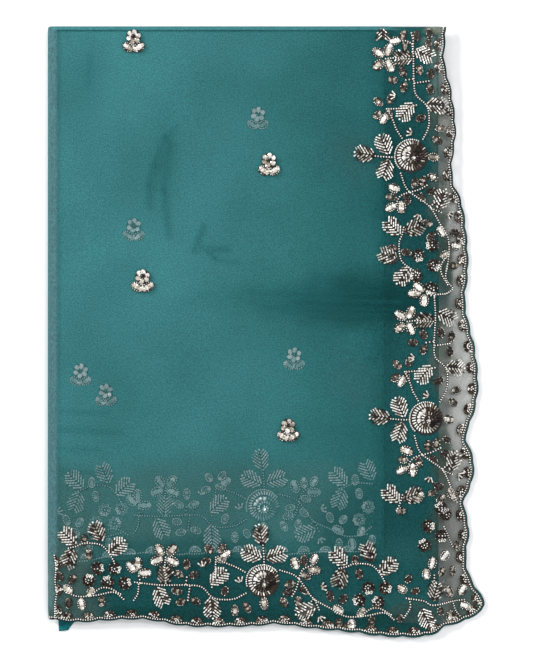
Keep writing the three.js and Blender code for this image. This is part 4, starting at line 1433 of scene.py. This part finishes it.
LEAVES = (
    Spot(-98, 6, 85, 0.5), Spot(-102, -15, -65, 0.8), Spot(-45, 4, 40, 0.82), Spot(-51, -26, -85, 0.72),
    Spot(43, -29, 200, 0.75), Spot(-2, 46, 100, 0.62), Spot(-11, 27, 155, 0.85), Spot(13, 26, 18, 0.8),
)
SPRIG_LEAVES = (
    Spot(76, 24, 135, 0.8), Spot(77, 3, -110, 0.58), Spot(105, 29, 115, 0.6), Spot(124, 14, 40, 0.8),
)
STEMS = (
    (Spot(-128, -1), Spot(-112, -3), Spot(-100, -4), Spot(-75, -4), Spot(-61, -6), Spot(-49, -17),
     Spot(-30, -18), Spot(-17, -12)),
    (Spot(17, 11), Spot(34, 4), Spot(50, -17), Spot(68, -27), Spot(84, -35), Spot(104, -34), Spot(121, -31),
     Spot(131, -38)),
    (Spot(1, 17), Spot(1, 24), Spot(0, 36)),
    (Spot(-97, -2), Spot(-98, 14), Spot(-97, 24)),
    (Spot(-77, -3), Spot(-76, 4)),
    (Spot(-73, -5), Spot(-75, -19)),
    (Spot(-51, -6), Spot(-48, 8), Spot(-47, 22)),
    (Spot(-47, 24), Spot(-38, 19), Spot(-28, 15), Spot(-18, 9)),
    (Spot(-122, -2), Spot(-124, 5)),
    (Spot(-124, -3), Spot(-125, -13), Spot(-129, -19)),
    (Spot(36, 3), Spot(40, 12), Spot(50, 17)),
    (Spot(36, 2), Spot(33, -8), Spot(29, -15)),
    (Spot(50, -18), Spot(45, -24)),
    (Spot(52, -19), Spot(56, -28)),
    (Spot(98, -34), Spot(108, -27), Spot(117, -27), Spot(128, -33)),
)
SPRIG_STEMS = (
    (Spot(76, 13), Spot(84, 15), Spot(92, 18), Spot(109, 16), Spot(119, 4), Spot(122, -2)),
)
PETALS = (
    Spot(-103, 31, 120, 0.85), Spot(-91, 31, 50, 0.7), Spot(-106, 21, 200, 0.9), Spot(-90, 20, -25, 1.0),
    Spot(-131, 14, 130, 0.9), Spot(-118, 8, 5, 0.9), Spot(-125, 18, 90, 0.75), Spot(-84, 7, 150, 0.2),
    Spot(-69, 6, 20, 0.22), Spot(-76, 17, 90, 0.2), Spot(-86, -10, 170, 0.22), Spot(-82, -21, 190, 0.12),
    Spot(-67, -20, -20, 0.15), Spot(-54, 32, 130, 0.45), Spot(-41, 33, 50, 0.4), Spot(-57, 20, 200, 0.18),
    Spot(-42, 22, -10, 0.3), Spot(-37, 27, 30, 0.98, 0.8), Spot(-38, -10, 70, 0.15),
    Spot(-28, -29, -90, 0.35), Spot(-16, -26, -60, 0.2), Spot(1, -22, -80, 0.7, 0.9),
    Spot(21, -21, -60, 0.35), Spot(25, -11, 200, 0.15), Spot(27, -3, 190, 0.15), Spot(32, 18, 110, 0.9),
    Spot(41, 21, 95, 0.5), Spot(51, 22, 60, 1.0, 0.85), Spot(51, 11, 0, 0.8), Spot(43, 5, -20, 0.25),
    Spot(41, -9, -40, 0.2), Spot(35, -20, -100, 0.15), Spot(67, -15, 110, 0.25), Spot(80, -18, 50, 0.25),
    Spot(75, -28, -30, 0.85, 0.9), Spot(76, -42, -90, 0.2), Spot(89, -43, -80, 1.0, 0.85),
    Spot(98, -31, 60, 0.8, 0.8), Spot(109, -40, -90, 0.2), Spot(92, 21, 90, 0.15), Spot(96, 7, -80, 0.25),
)
FLOWERS = (
    Spot(105, -7), Spot(122, -7), Spot(96, -19), Spot(115, -21), Spot(132, -22),
)
RIGHT_FLOWERS = (
    Spot(89, -19), Spot(99, -5), Spot(109, -20), Spot(119, -2), Spot(132, -17),
)
SPRAYS = (Spot(-22, -2, 115), Spot(57, -7, 20), Spot(56, -34, -60), Spot(-60, 14, 100))


@dataclass(frozen=True)
class Run:
    """One stretch of the border: where its rosette lies, which way it runs and what of it there is."""

    name: str
    across: float
    down: float
    downward: bool
    lean: float = 0.0
    start: float = -131.0
    stop: float = 131.0
    sprig_shift: tuple[float, float] = (0.0, 0.0)
    nodes: tuple[str, ...] = ()

    def place(self, spot: Spot, shift: tuple[float, float] = (0.0, 0.0)) -> tuple[float, float, float]:
        """Turns a spot of the repeat into a place and a heading on the bundle.

        Args:
            spot: The spot.
            shift: How far it is moved along and inward.

        Returns:
            Across, down and the heading in degrees.
        """
        along, inward = spot.along + shift[0], spot.inward + shift[1]
        if self.downward:
            return self.across + self.lean * along - inward, self.down + along, -90 - spot.turn
        return self.across + along, self.down - inward + self.lean * along, spot.turn

    def holds(self, spot: Spot, shift: tuple[float, float] = (0.0, 0.0)) -> bool:
        """Says whether the run reaches as far as a spot."""
        return self.start <= spot.along + shift[0] <= self.stop


def vine_nodes(name: str) -> tuple[str, ...]:
    """Names the frame's solids of one run."""
    kinds = ("rosette", "vine_in", "vine_out", "crown_leaves", "leaf_sprig")
    return tuple(f"{kind}_{name}" for kind in kinds)


RUNS = (
    Run("right_1", across=363, down=130, downward=True, lean=0.02, start=-112, stop=133, sprig_shift=(-5, -4),
        nodes=vine_nodes("right_1") + tuple(f"bead_flower_{i}" for i in range(1, 6))),
    Run("right_2", across=378, down=392, downward=True, lean=-0.05, stop=92, sprig_shift=(0, 7),
        nodes=vine_nodes("right_2")),
    Run("lower", across=215, down=554, downward=False,
        nodes=vine_nodes("lower") + tuple(f"bead_flower_{i}" for i in range(10, 15))),
)


@dataclass
class Border:
    """The embroidery of the top layer and of the layer under it."""

    bundle: Bundle
    edge: Edge
    coats: dict[str, bpy.types.Material]
    lay: dict[Shape, bpy.types.NodeTree] = field(init=False)
    strings: bpy.types.NodeTree = field(init=False)
    ribbons: bpy.types.NodeTree = field(init=False)

    def __post_init__(self) -> None:
        """Builds the node trees."""
        self.lay = {shape: Trees.scatter(shape) for shape in Shape}
        self.strings = Trees.string()
        self.ribbons = Trees.ribbon()

    def finish(self, name: str, stitches: Stitches, nodes: tuple[str, ...], seed: int,
               veiled: bool = False) -> None:
        """Makes the pieces of one set of stitches.

        Args:
            name: The end of the pieces' names.
            stitches: The stitches.
            nodes: The frame's solids that the tube beads stand for, or the sequins where there are none.
            seed: The seed of what is random.
            veiled: Whether another layer lies over them.
        """
        glass = self.coats["veiled" if veiled else "glass"]
        foil = self.coats["veiled" if veiled else "foil"]
        backing_and_shadow = self.coats["veiled_backing_and_shadow" if veiled else "backing_and_shadow"]
        stands = Shape.BUGLE if stitches.beads[Shape.BUGLE] else Shape.SEQUIN
        for shape, label, coat, tilt, slot in (
                (Shape.BUGLE, "tube_beads", glass, 0.06, "glass_beads"),
                (Shape.SEED, "seed_beads", glass, 0.2, "glass_beads"),
                (Shape.SEQUIN, "sequins", foil, 0.26, "sequins"),
                (Shape.PATCH, "thread_and_shadow_patches", backing_and_shadow, 0.0, "top_cloth")):
            piece = stitches.make(f"{label}_{name}", shape, self.lay[shape], coat, tilt, seed)
            if piece is not None:
                dress(piece, nodes if shape is stands else ())
        beads = {"Pitch": 2.45 * MM, "Bead": 1.85 * MM, "Seed": seed, "Low tint": 0.78, "High tint": 1.0,
                 "Material": glass}
        if veiled:
            beads["Bead"] = 1.6 * MM
        strung = stitches.along_lines(f"stem_beads_{name}", self.strings, beads)
        if strung is not None:
            dress(strung)
            # The dark thread under the stem beads, which is also painted shadow between them
            thread = {"Width": 2.3 * MM, "Height": 0.35 * MM, "Material": backing_and_shadow}
            dress(stitches.along_lines(f"stem_thread_{name}", self.ribbons, thread, 0.75))

    def sew(self, stitches: Stitches, run: Run, shift: tuple[float, float] = (0.0, 0.0),
            rosette: bool = True, limit: float = 1e3) -> None:
        """Sews one repeat of the border.

        Args:
            stitches: Where it is sewn.
            run: The stretch of the border.
            shift: How far the repeat is moved along and inward.
            rosette: Whether the rosette is sewn.
            limit: How far across the work may reach.
        """
        motifs = Motifs(stitches)
        sprig = (shift[0] + run.sprig_shift[0], shift[1] + run.sprig_shift[1])
        tables = ((LEAVES, shift, motifs.leaf), (SPRIG_LEAVES, sprig, motifs.leaf))
        for spots, moved, sew in tables:
            for spot in spots:
                if run.holds(spot, moved):
                    across, down, heading = run.place(spot, moved)
                    if 7 < across < limit:
                        sew(across, down, heading, spot.tint)
        for spot in PETALS:
            across, down, heading = run.place(spot, shift)
            if run.holds(spot, shift) and 7 < across < limit and self.edge.depth(across, down) > 7:
                motifs.petal(across, down, heading, spot.tint, spot.size)
        for spot in RIGHT_FLOWERS if run.downward else FLOWERS:
            across, down, _ = run.place(spot, shift)
            if run.holds(spot, shift) and 7 < across < limit:
                motifs.round_flower(across, down)
        for spot in SPRAYS:
            across, down, heading = run.place(spot, shift)
            if run.holds(spot, shift) and 7 < across < limit:
                motifs.spray(across, down, heading)
        for stems, moved in ((STEMS, shift), (SPRIG_STEMS, sprig)):
            for stem in stems:
                spots = [run.place(spot, moved)[:2] for spot in stem if run.holds(spot, moved)]
                spots = [spot for spot in spots if 4 < spot[0] < limit]
                if len(spots) > 1:
                    stitches.line(spots)
        if rosette:
            across, down, _ = run.place(Spot(0, 0), shift)
            motifs.rosette(across, down, run.place(Spot(0, 0, -60))[2])

    def build(self) -> None:
        """Sews and makes the whole border."""
        for seed, run in enumerate(RUNS):
            stitches = Stitches(self.bundle)
            self.sew(stitches, run)
            self.finish(run.name, stitches, run.nodes, 10 * seed + 11)
        self.far_end()
        self.corner_work()
        self.top_work()
        self.edge_work()
        self.field_work()
        self.ghost_work()

    def far_end(self) -> None:
        """Sews the end of the repeat before, at the lower left."""
        stitches = Stitches(self.bundle)
        run = Run("far", across=215, down=554, downward=False, start=-212, stop=-134)
        self.sew(stitches, run, (-270, 20), rosette=False)
        flowers = tuple(f"bead_flower_{i}" for i in range(15, 20))
        self.finish("far", stitches, ("leaf_sprig_far",) + flowers, 51)

    def corner_work(self) -> None:
        """Sews the work of the corner, where the two runs meet."""
        stitches = Stitches(self.bundle)
        motifs = Motifs(stitches)
        for across, down, heading, tint in ((387, 564, 75, 0.6), (378, 590, -65, 0.8)):
            motifs.leaf(across, down, heading, tint)
        for across, down in ((380, 499), (397, 488), (376, 518), (393, 509)):
            motifs.round_flower(across, down)
        petals = (
            (360, 552, 60, 0.2), (354, 562, 150, 0.7), (367, 564, 20, 0.25), (378, 547, 95, 0.9),
            (393, 545, 60, 0.3), (384, 536, 80, 0.95), (396, 529, 50, 0.95), (400, 565, 120, 0.85),
            (415, 564, 60, 0.95), (418, 580, -20, 1.0), (402, 590, 100, 0.8), (413, 594, -40, 0.6),
            (392, 584, -60, 0.2), (352, 591, -90, 0.25), (371, 470, 60, 0.7), (384, 466, 20, 0.35),
            (406, 470, 80, 0.5), (409, 520, 90, 0.3), (404, 545, 90, 0.4),
        )
        for across, down, heading, tint in petals:
            if self.edge.depth(across, down) > 4:
                motifs.petal(across, down, heading, tint, 0.9)
        stitches.line([(358, 571), (376, 574), (384, 578), (404, 575), (417, 574)])
        stitches.line([(404, 575), (407, 584), (412, 590)])
        stitches.line([(361, 572), (362, 580), (356, 590)])
        stitches.line([(395, 500), (400, 512), (404, 520)])
        stitches.line([(386, 548), (386, 562)])
        flowers = tuple(f"bead_flower_{i}" for i in range(6, 10))
        self.finish("corner", stitches, ("corner_vine",) + flowers, 61)

    def top_work(self) -> None:
        """Sews the end of the repeat that the upper fold cuts off."""
        stitches = Stitches(self.bundle)
        motifs = Motifs(stitches)
        motifs.leaf(334, 9, -90, 0.6, 13, 13)
        for across, down, heading, tint in ((346, 15, 190, 0.95), (355, 9, 70, 0.3), (357, 20, -90, 0.2),
                                            (380, 18, 80, 0.25), (381, 8, 100, 0.2), (368, 10, 90, 0.2)):
            motifs.petal(across, down, heading, tint, 0.9)
        stitches.line([(363, 7), (365, 16), (364, 26)])
        stitches.line([(352, 15), (358, 15), (364, 18)])
        stitches.line([(367, 26), (373, 23), (378, 20)])
        self.finish("top", stitches, (), 65)

    def edge_work(self) -> None:
        """Sews the bead line along the scallops, and half a flower in each scallop."""
        stitches = Stitches(self.bundle)
        inner = Edge(inset=2.5)
        start = float(np.interp(2, self.edge.points[:60, 1], self.edge.length[:60]))
        stop = float(self.edge.length[-1] - 16)
        stops = np.arange(start, stop, 2.0)
        stitches.line([tuple(spot) for spot in inner.at(stops)])
        motifs = Motifs(stitches)
        fans = Edge(inset=4.2)
        pitch = self.edge.length[-1] / self.edge.scallops
        for i in range(self.edge.scallops):
            middle = (i + 0.5) * pitch
            spot = fans.at(middle)[0]
            if min(spot) > 5 and start < middle < stop:
                out = self.edge.out_at(middle)
                motifs.half_flower(*spot, math.degrees(math.atan2(out[1], -out[0])))
        for down in (536, 563, 583):
            motifs.half_flower(8, down, 0)
        stitches.line([(7, 528), (8.5, 541), (7.5, 554), (9, 566), (7.5, 578), (7, 590)])
        self.finish("edge", stitches, ("edge_bead_line",), 71)

    def field_work(self) -> None:
        """Sews the sprigs of the field on the top layer."""
        stitches = Stitches(self.bundle)
        motifs = Motifs(stitches)
        for across, down in ((86, 16), (221, 139), (95, 255), (240, 404)):
            motifs.field_sprig(across, down)
        self.finish("field", stitches, tuple(f"field_sprig_{i}" for i in range(1, 5)), 81)

    def ghost_work(self) -> None:
        """Sews the border and the sprigs of the second layer, which show through the top one."""
        stitches = Stitches(self.bundle, Ground.SECOND, thin=0.42)
        motifs = Motifs(stitches)
        run = Run("ghost", across=215, down=479.5, downward=False, lean=-0.06)
        self.sew(stitches, run, limit=SECOND_RIGHT - 8)
        far = Run("ghost_far", across=215, down=479.5, downward=False, lean=-0.06, start=-206, stop=-134)
        self.sew(stitches, far, (-263, 13), rosette=False)
        spots = np.arange(SECOND_LEFT + 4, SECOND_RIGHT - 6, SCALLOP_PITCH / 2)
        wave = 2.5 * np.abs(np.sin(math.pi * (spots - SECOND_LEFT) / SCALLOP_PITCH))
        wave = wave + 1.5 * np.sin(spots / 17)
        downs = second_lower(spots) - 7 + wave
        stitches.line(list(zip(spots.tolist(), downs.tolist())))
        for x in np.arange(SECOND_LEFT + SCALLOP_PITCH / 2, SECOND_RIGHT - 8, SCALLOP_PITCH).tolist():
            motifs.half_flower(x, float(second_lower(x)) - 6, 90)
        for across, down in ((210, 93), (86, 204), (246, 333), (33, 349), (58, 369)):
            motifs.field_sprig(across, down)
        self.finish("ghost", stitches, (), 91, veiled=True)


@dataclass
class Studio:
    """The floor, the soft light and the camera straight above."""

    distance: float = 2.0
    view_height: float = 0.666
    sensor: float = 36.0
    centre: tuple[float, float] = (0.001, -0.0015)
    scale_height: float = 0.010
    floor_side: float = 8.0

    def build(self) -> None:
        """Makes the whole studio."""
        self.floor()
        self.lights()
        self.camera()
        scene = bpy.context.scene
        scene.view_settings.view_transform = "Standard"
        scene.view_settings.look = "None"

    def floor(self) -> None:
        """Lays the pale floor."""
        material = bpy.data.materials.new("studio_floor")
        material.use_nodes = True
        shader = material.node_tree.nodes["Principled BSDF"]
        shader.inputs["Base Color"].default_value = (0.9, 0.9, 0.9, 1)
        shader.inputs["Roughness"].default_value = 0.9
        half = self.floor_side / 2
        corners = [(-half, -half, 0), (half, -half, 0), (half, half, 0), (-half, half, 0)]
        floor = mesh_object("floor", np.array(corners), [(0, 1, 2, 3)], material)

    def lights(self) -> None:
        """Hangs the soft boxes and sets the room's own light."""
        boxes = (
            ("key", (-1.7, 1.1, 1.15), 0.5, 44),
            ("fill", (1.3, 0.5, 1.7), 0.9, 12),
            ("low", (0.2, -1.5, 1.4), 0.8, 10),
            ("spark", (0.5, 0.9, 2.2), 0.25, 9),
        )
        for name, place, side, power in boxes:
            light = bpy.data.lights.new(name, "AREA")
            light.size = side
            light.energy = power
            made = bpy.data.objects.new(name, light)
            made.location = place
            made.rotation_euler = (-Vector(place)).to_track_quat("-Z", "Y").to_euler()
            bpy.context.scene.collection.objects.link(made)
        world = bpy.data.worlds.new("room")
        world.use_nodes = True
        world.node_tree.nodes["Background"].inputs["Color"].default_value = (0.93, 0.96, 1.0, 1)
        world.node_tree.nodes["Background"].inputs["Strength"].default_value = 0.48
        bpy.context.scene.world = world

    def camera(self) -> None:
        """Sets the camera straight above the bundle."""
        data = bpy.data.cameras.new("camera")
        data.sensor_width = self.sensor
        data.lens = self.sensor * (self.distance - self.scale_height) / self.view_height
        made = bpy.data.objects.new("camera", data)
        made.location = (*self.centre, self.distance)
        bpy.context.scene.collection.objects.link(made)
        bpy.context.scene.camera = made


def main() -> None:
    """Builds every piece in turn."""
    logging.basicConfig(level=logging.INFO, format="%(name)s: %(message)s")
    bundle = Bundle()
    edge = Edge()
    Studio().build()
    HiddenPanels(bundle).build(HIDDEN_ORGANZA.material())
    SecondLayer(bundle).build(SECOND_ORGANZA.material())
    TopLayer(bundle, edge).build(TOP_ORGANZA.material(), BINDING_THREAD.material())
    LooseCorner(bundle).build(CORNER_ORGANZA.material())
    coats = {"glass": GLASS_BEADS, "foil": SEQUIN_FOIL, "veiled": VEILED_BEADS, "backing_and_shadow": BACKING_THREAD_AND_SHADOW,
             "veiled_backing_and_shadow": VEILED_BACKING_AND_SHADOW}
    Border(bundle, edge, {name: coat.material() for name, coat in coats.items()}).build()


if __name__ == "__main__":
    main()
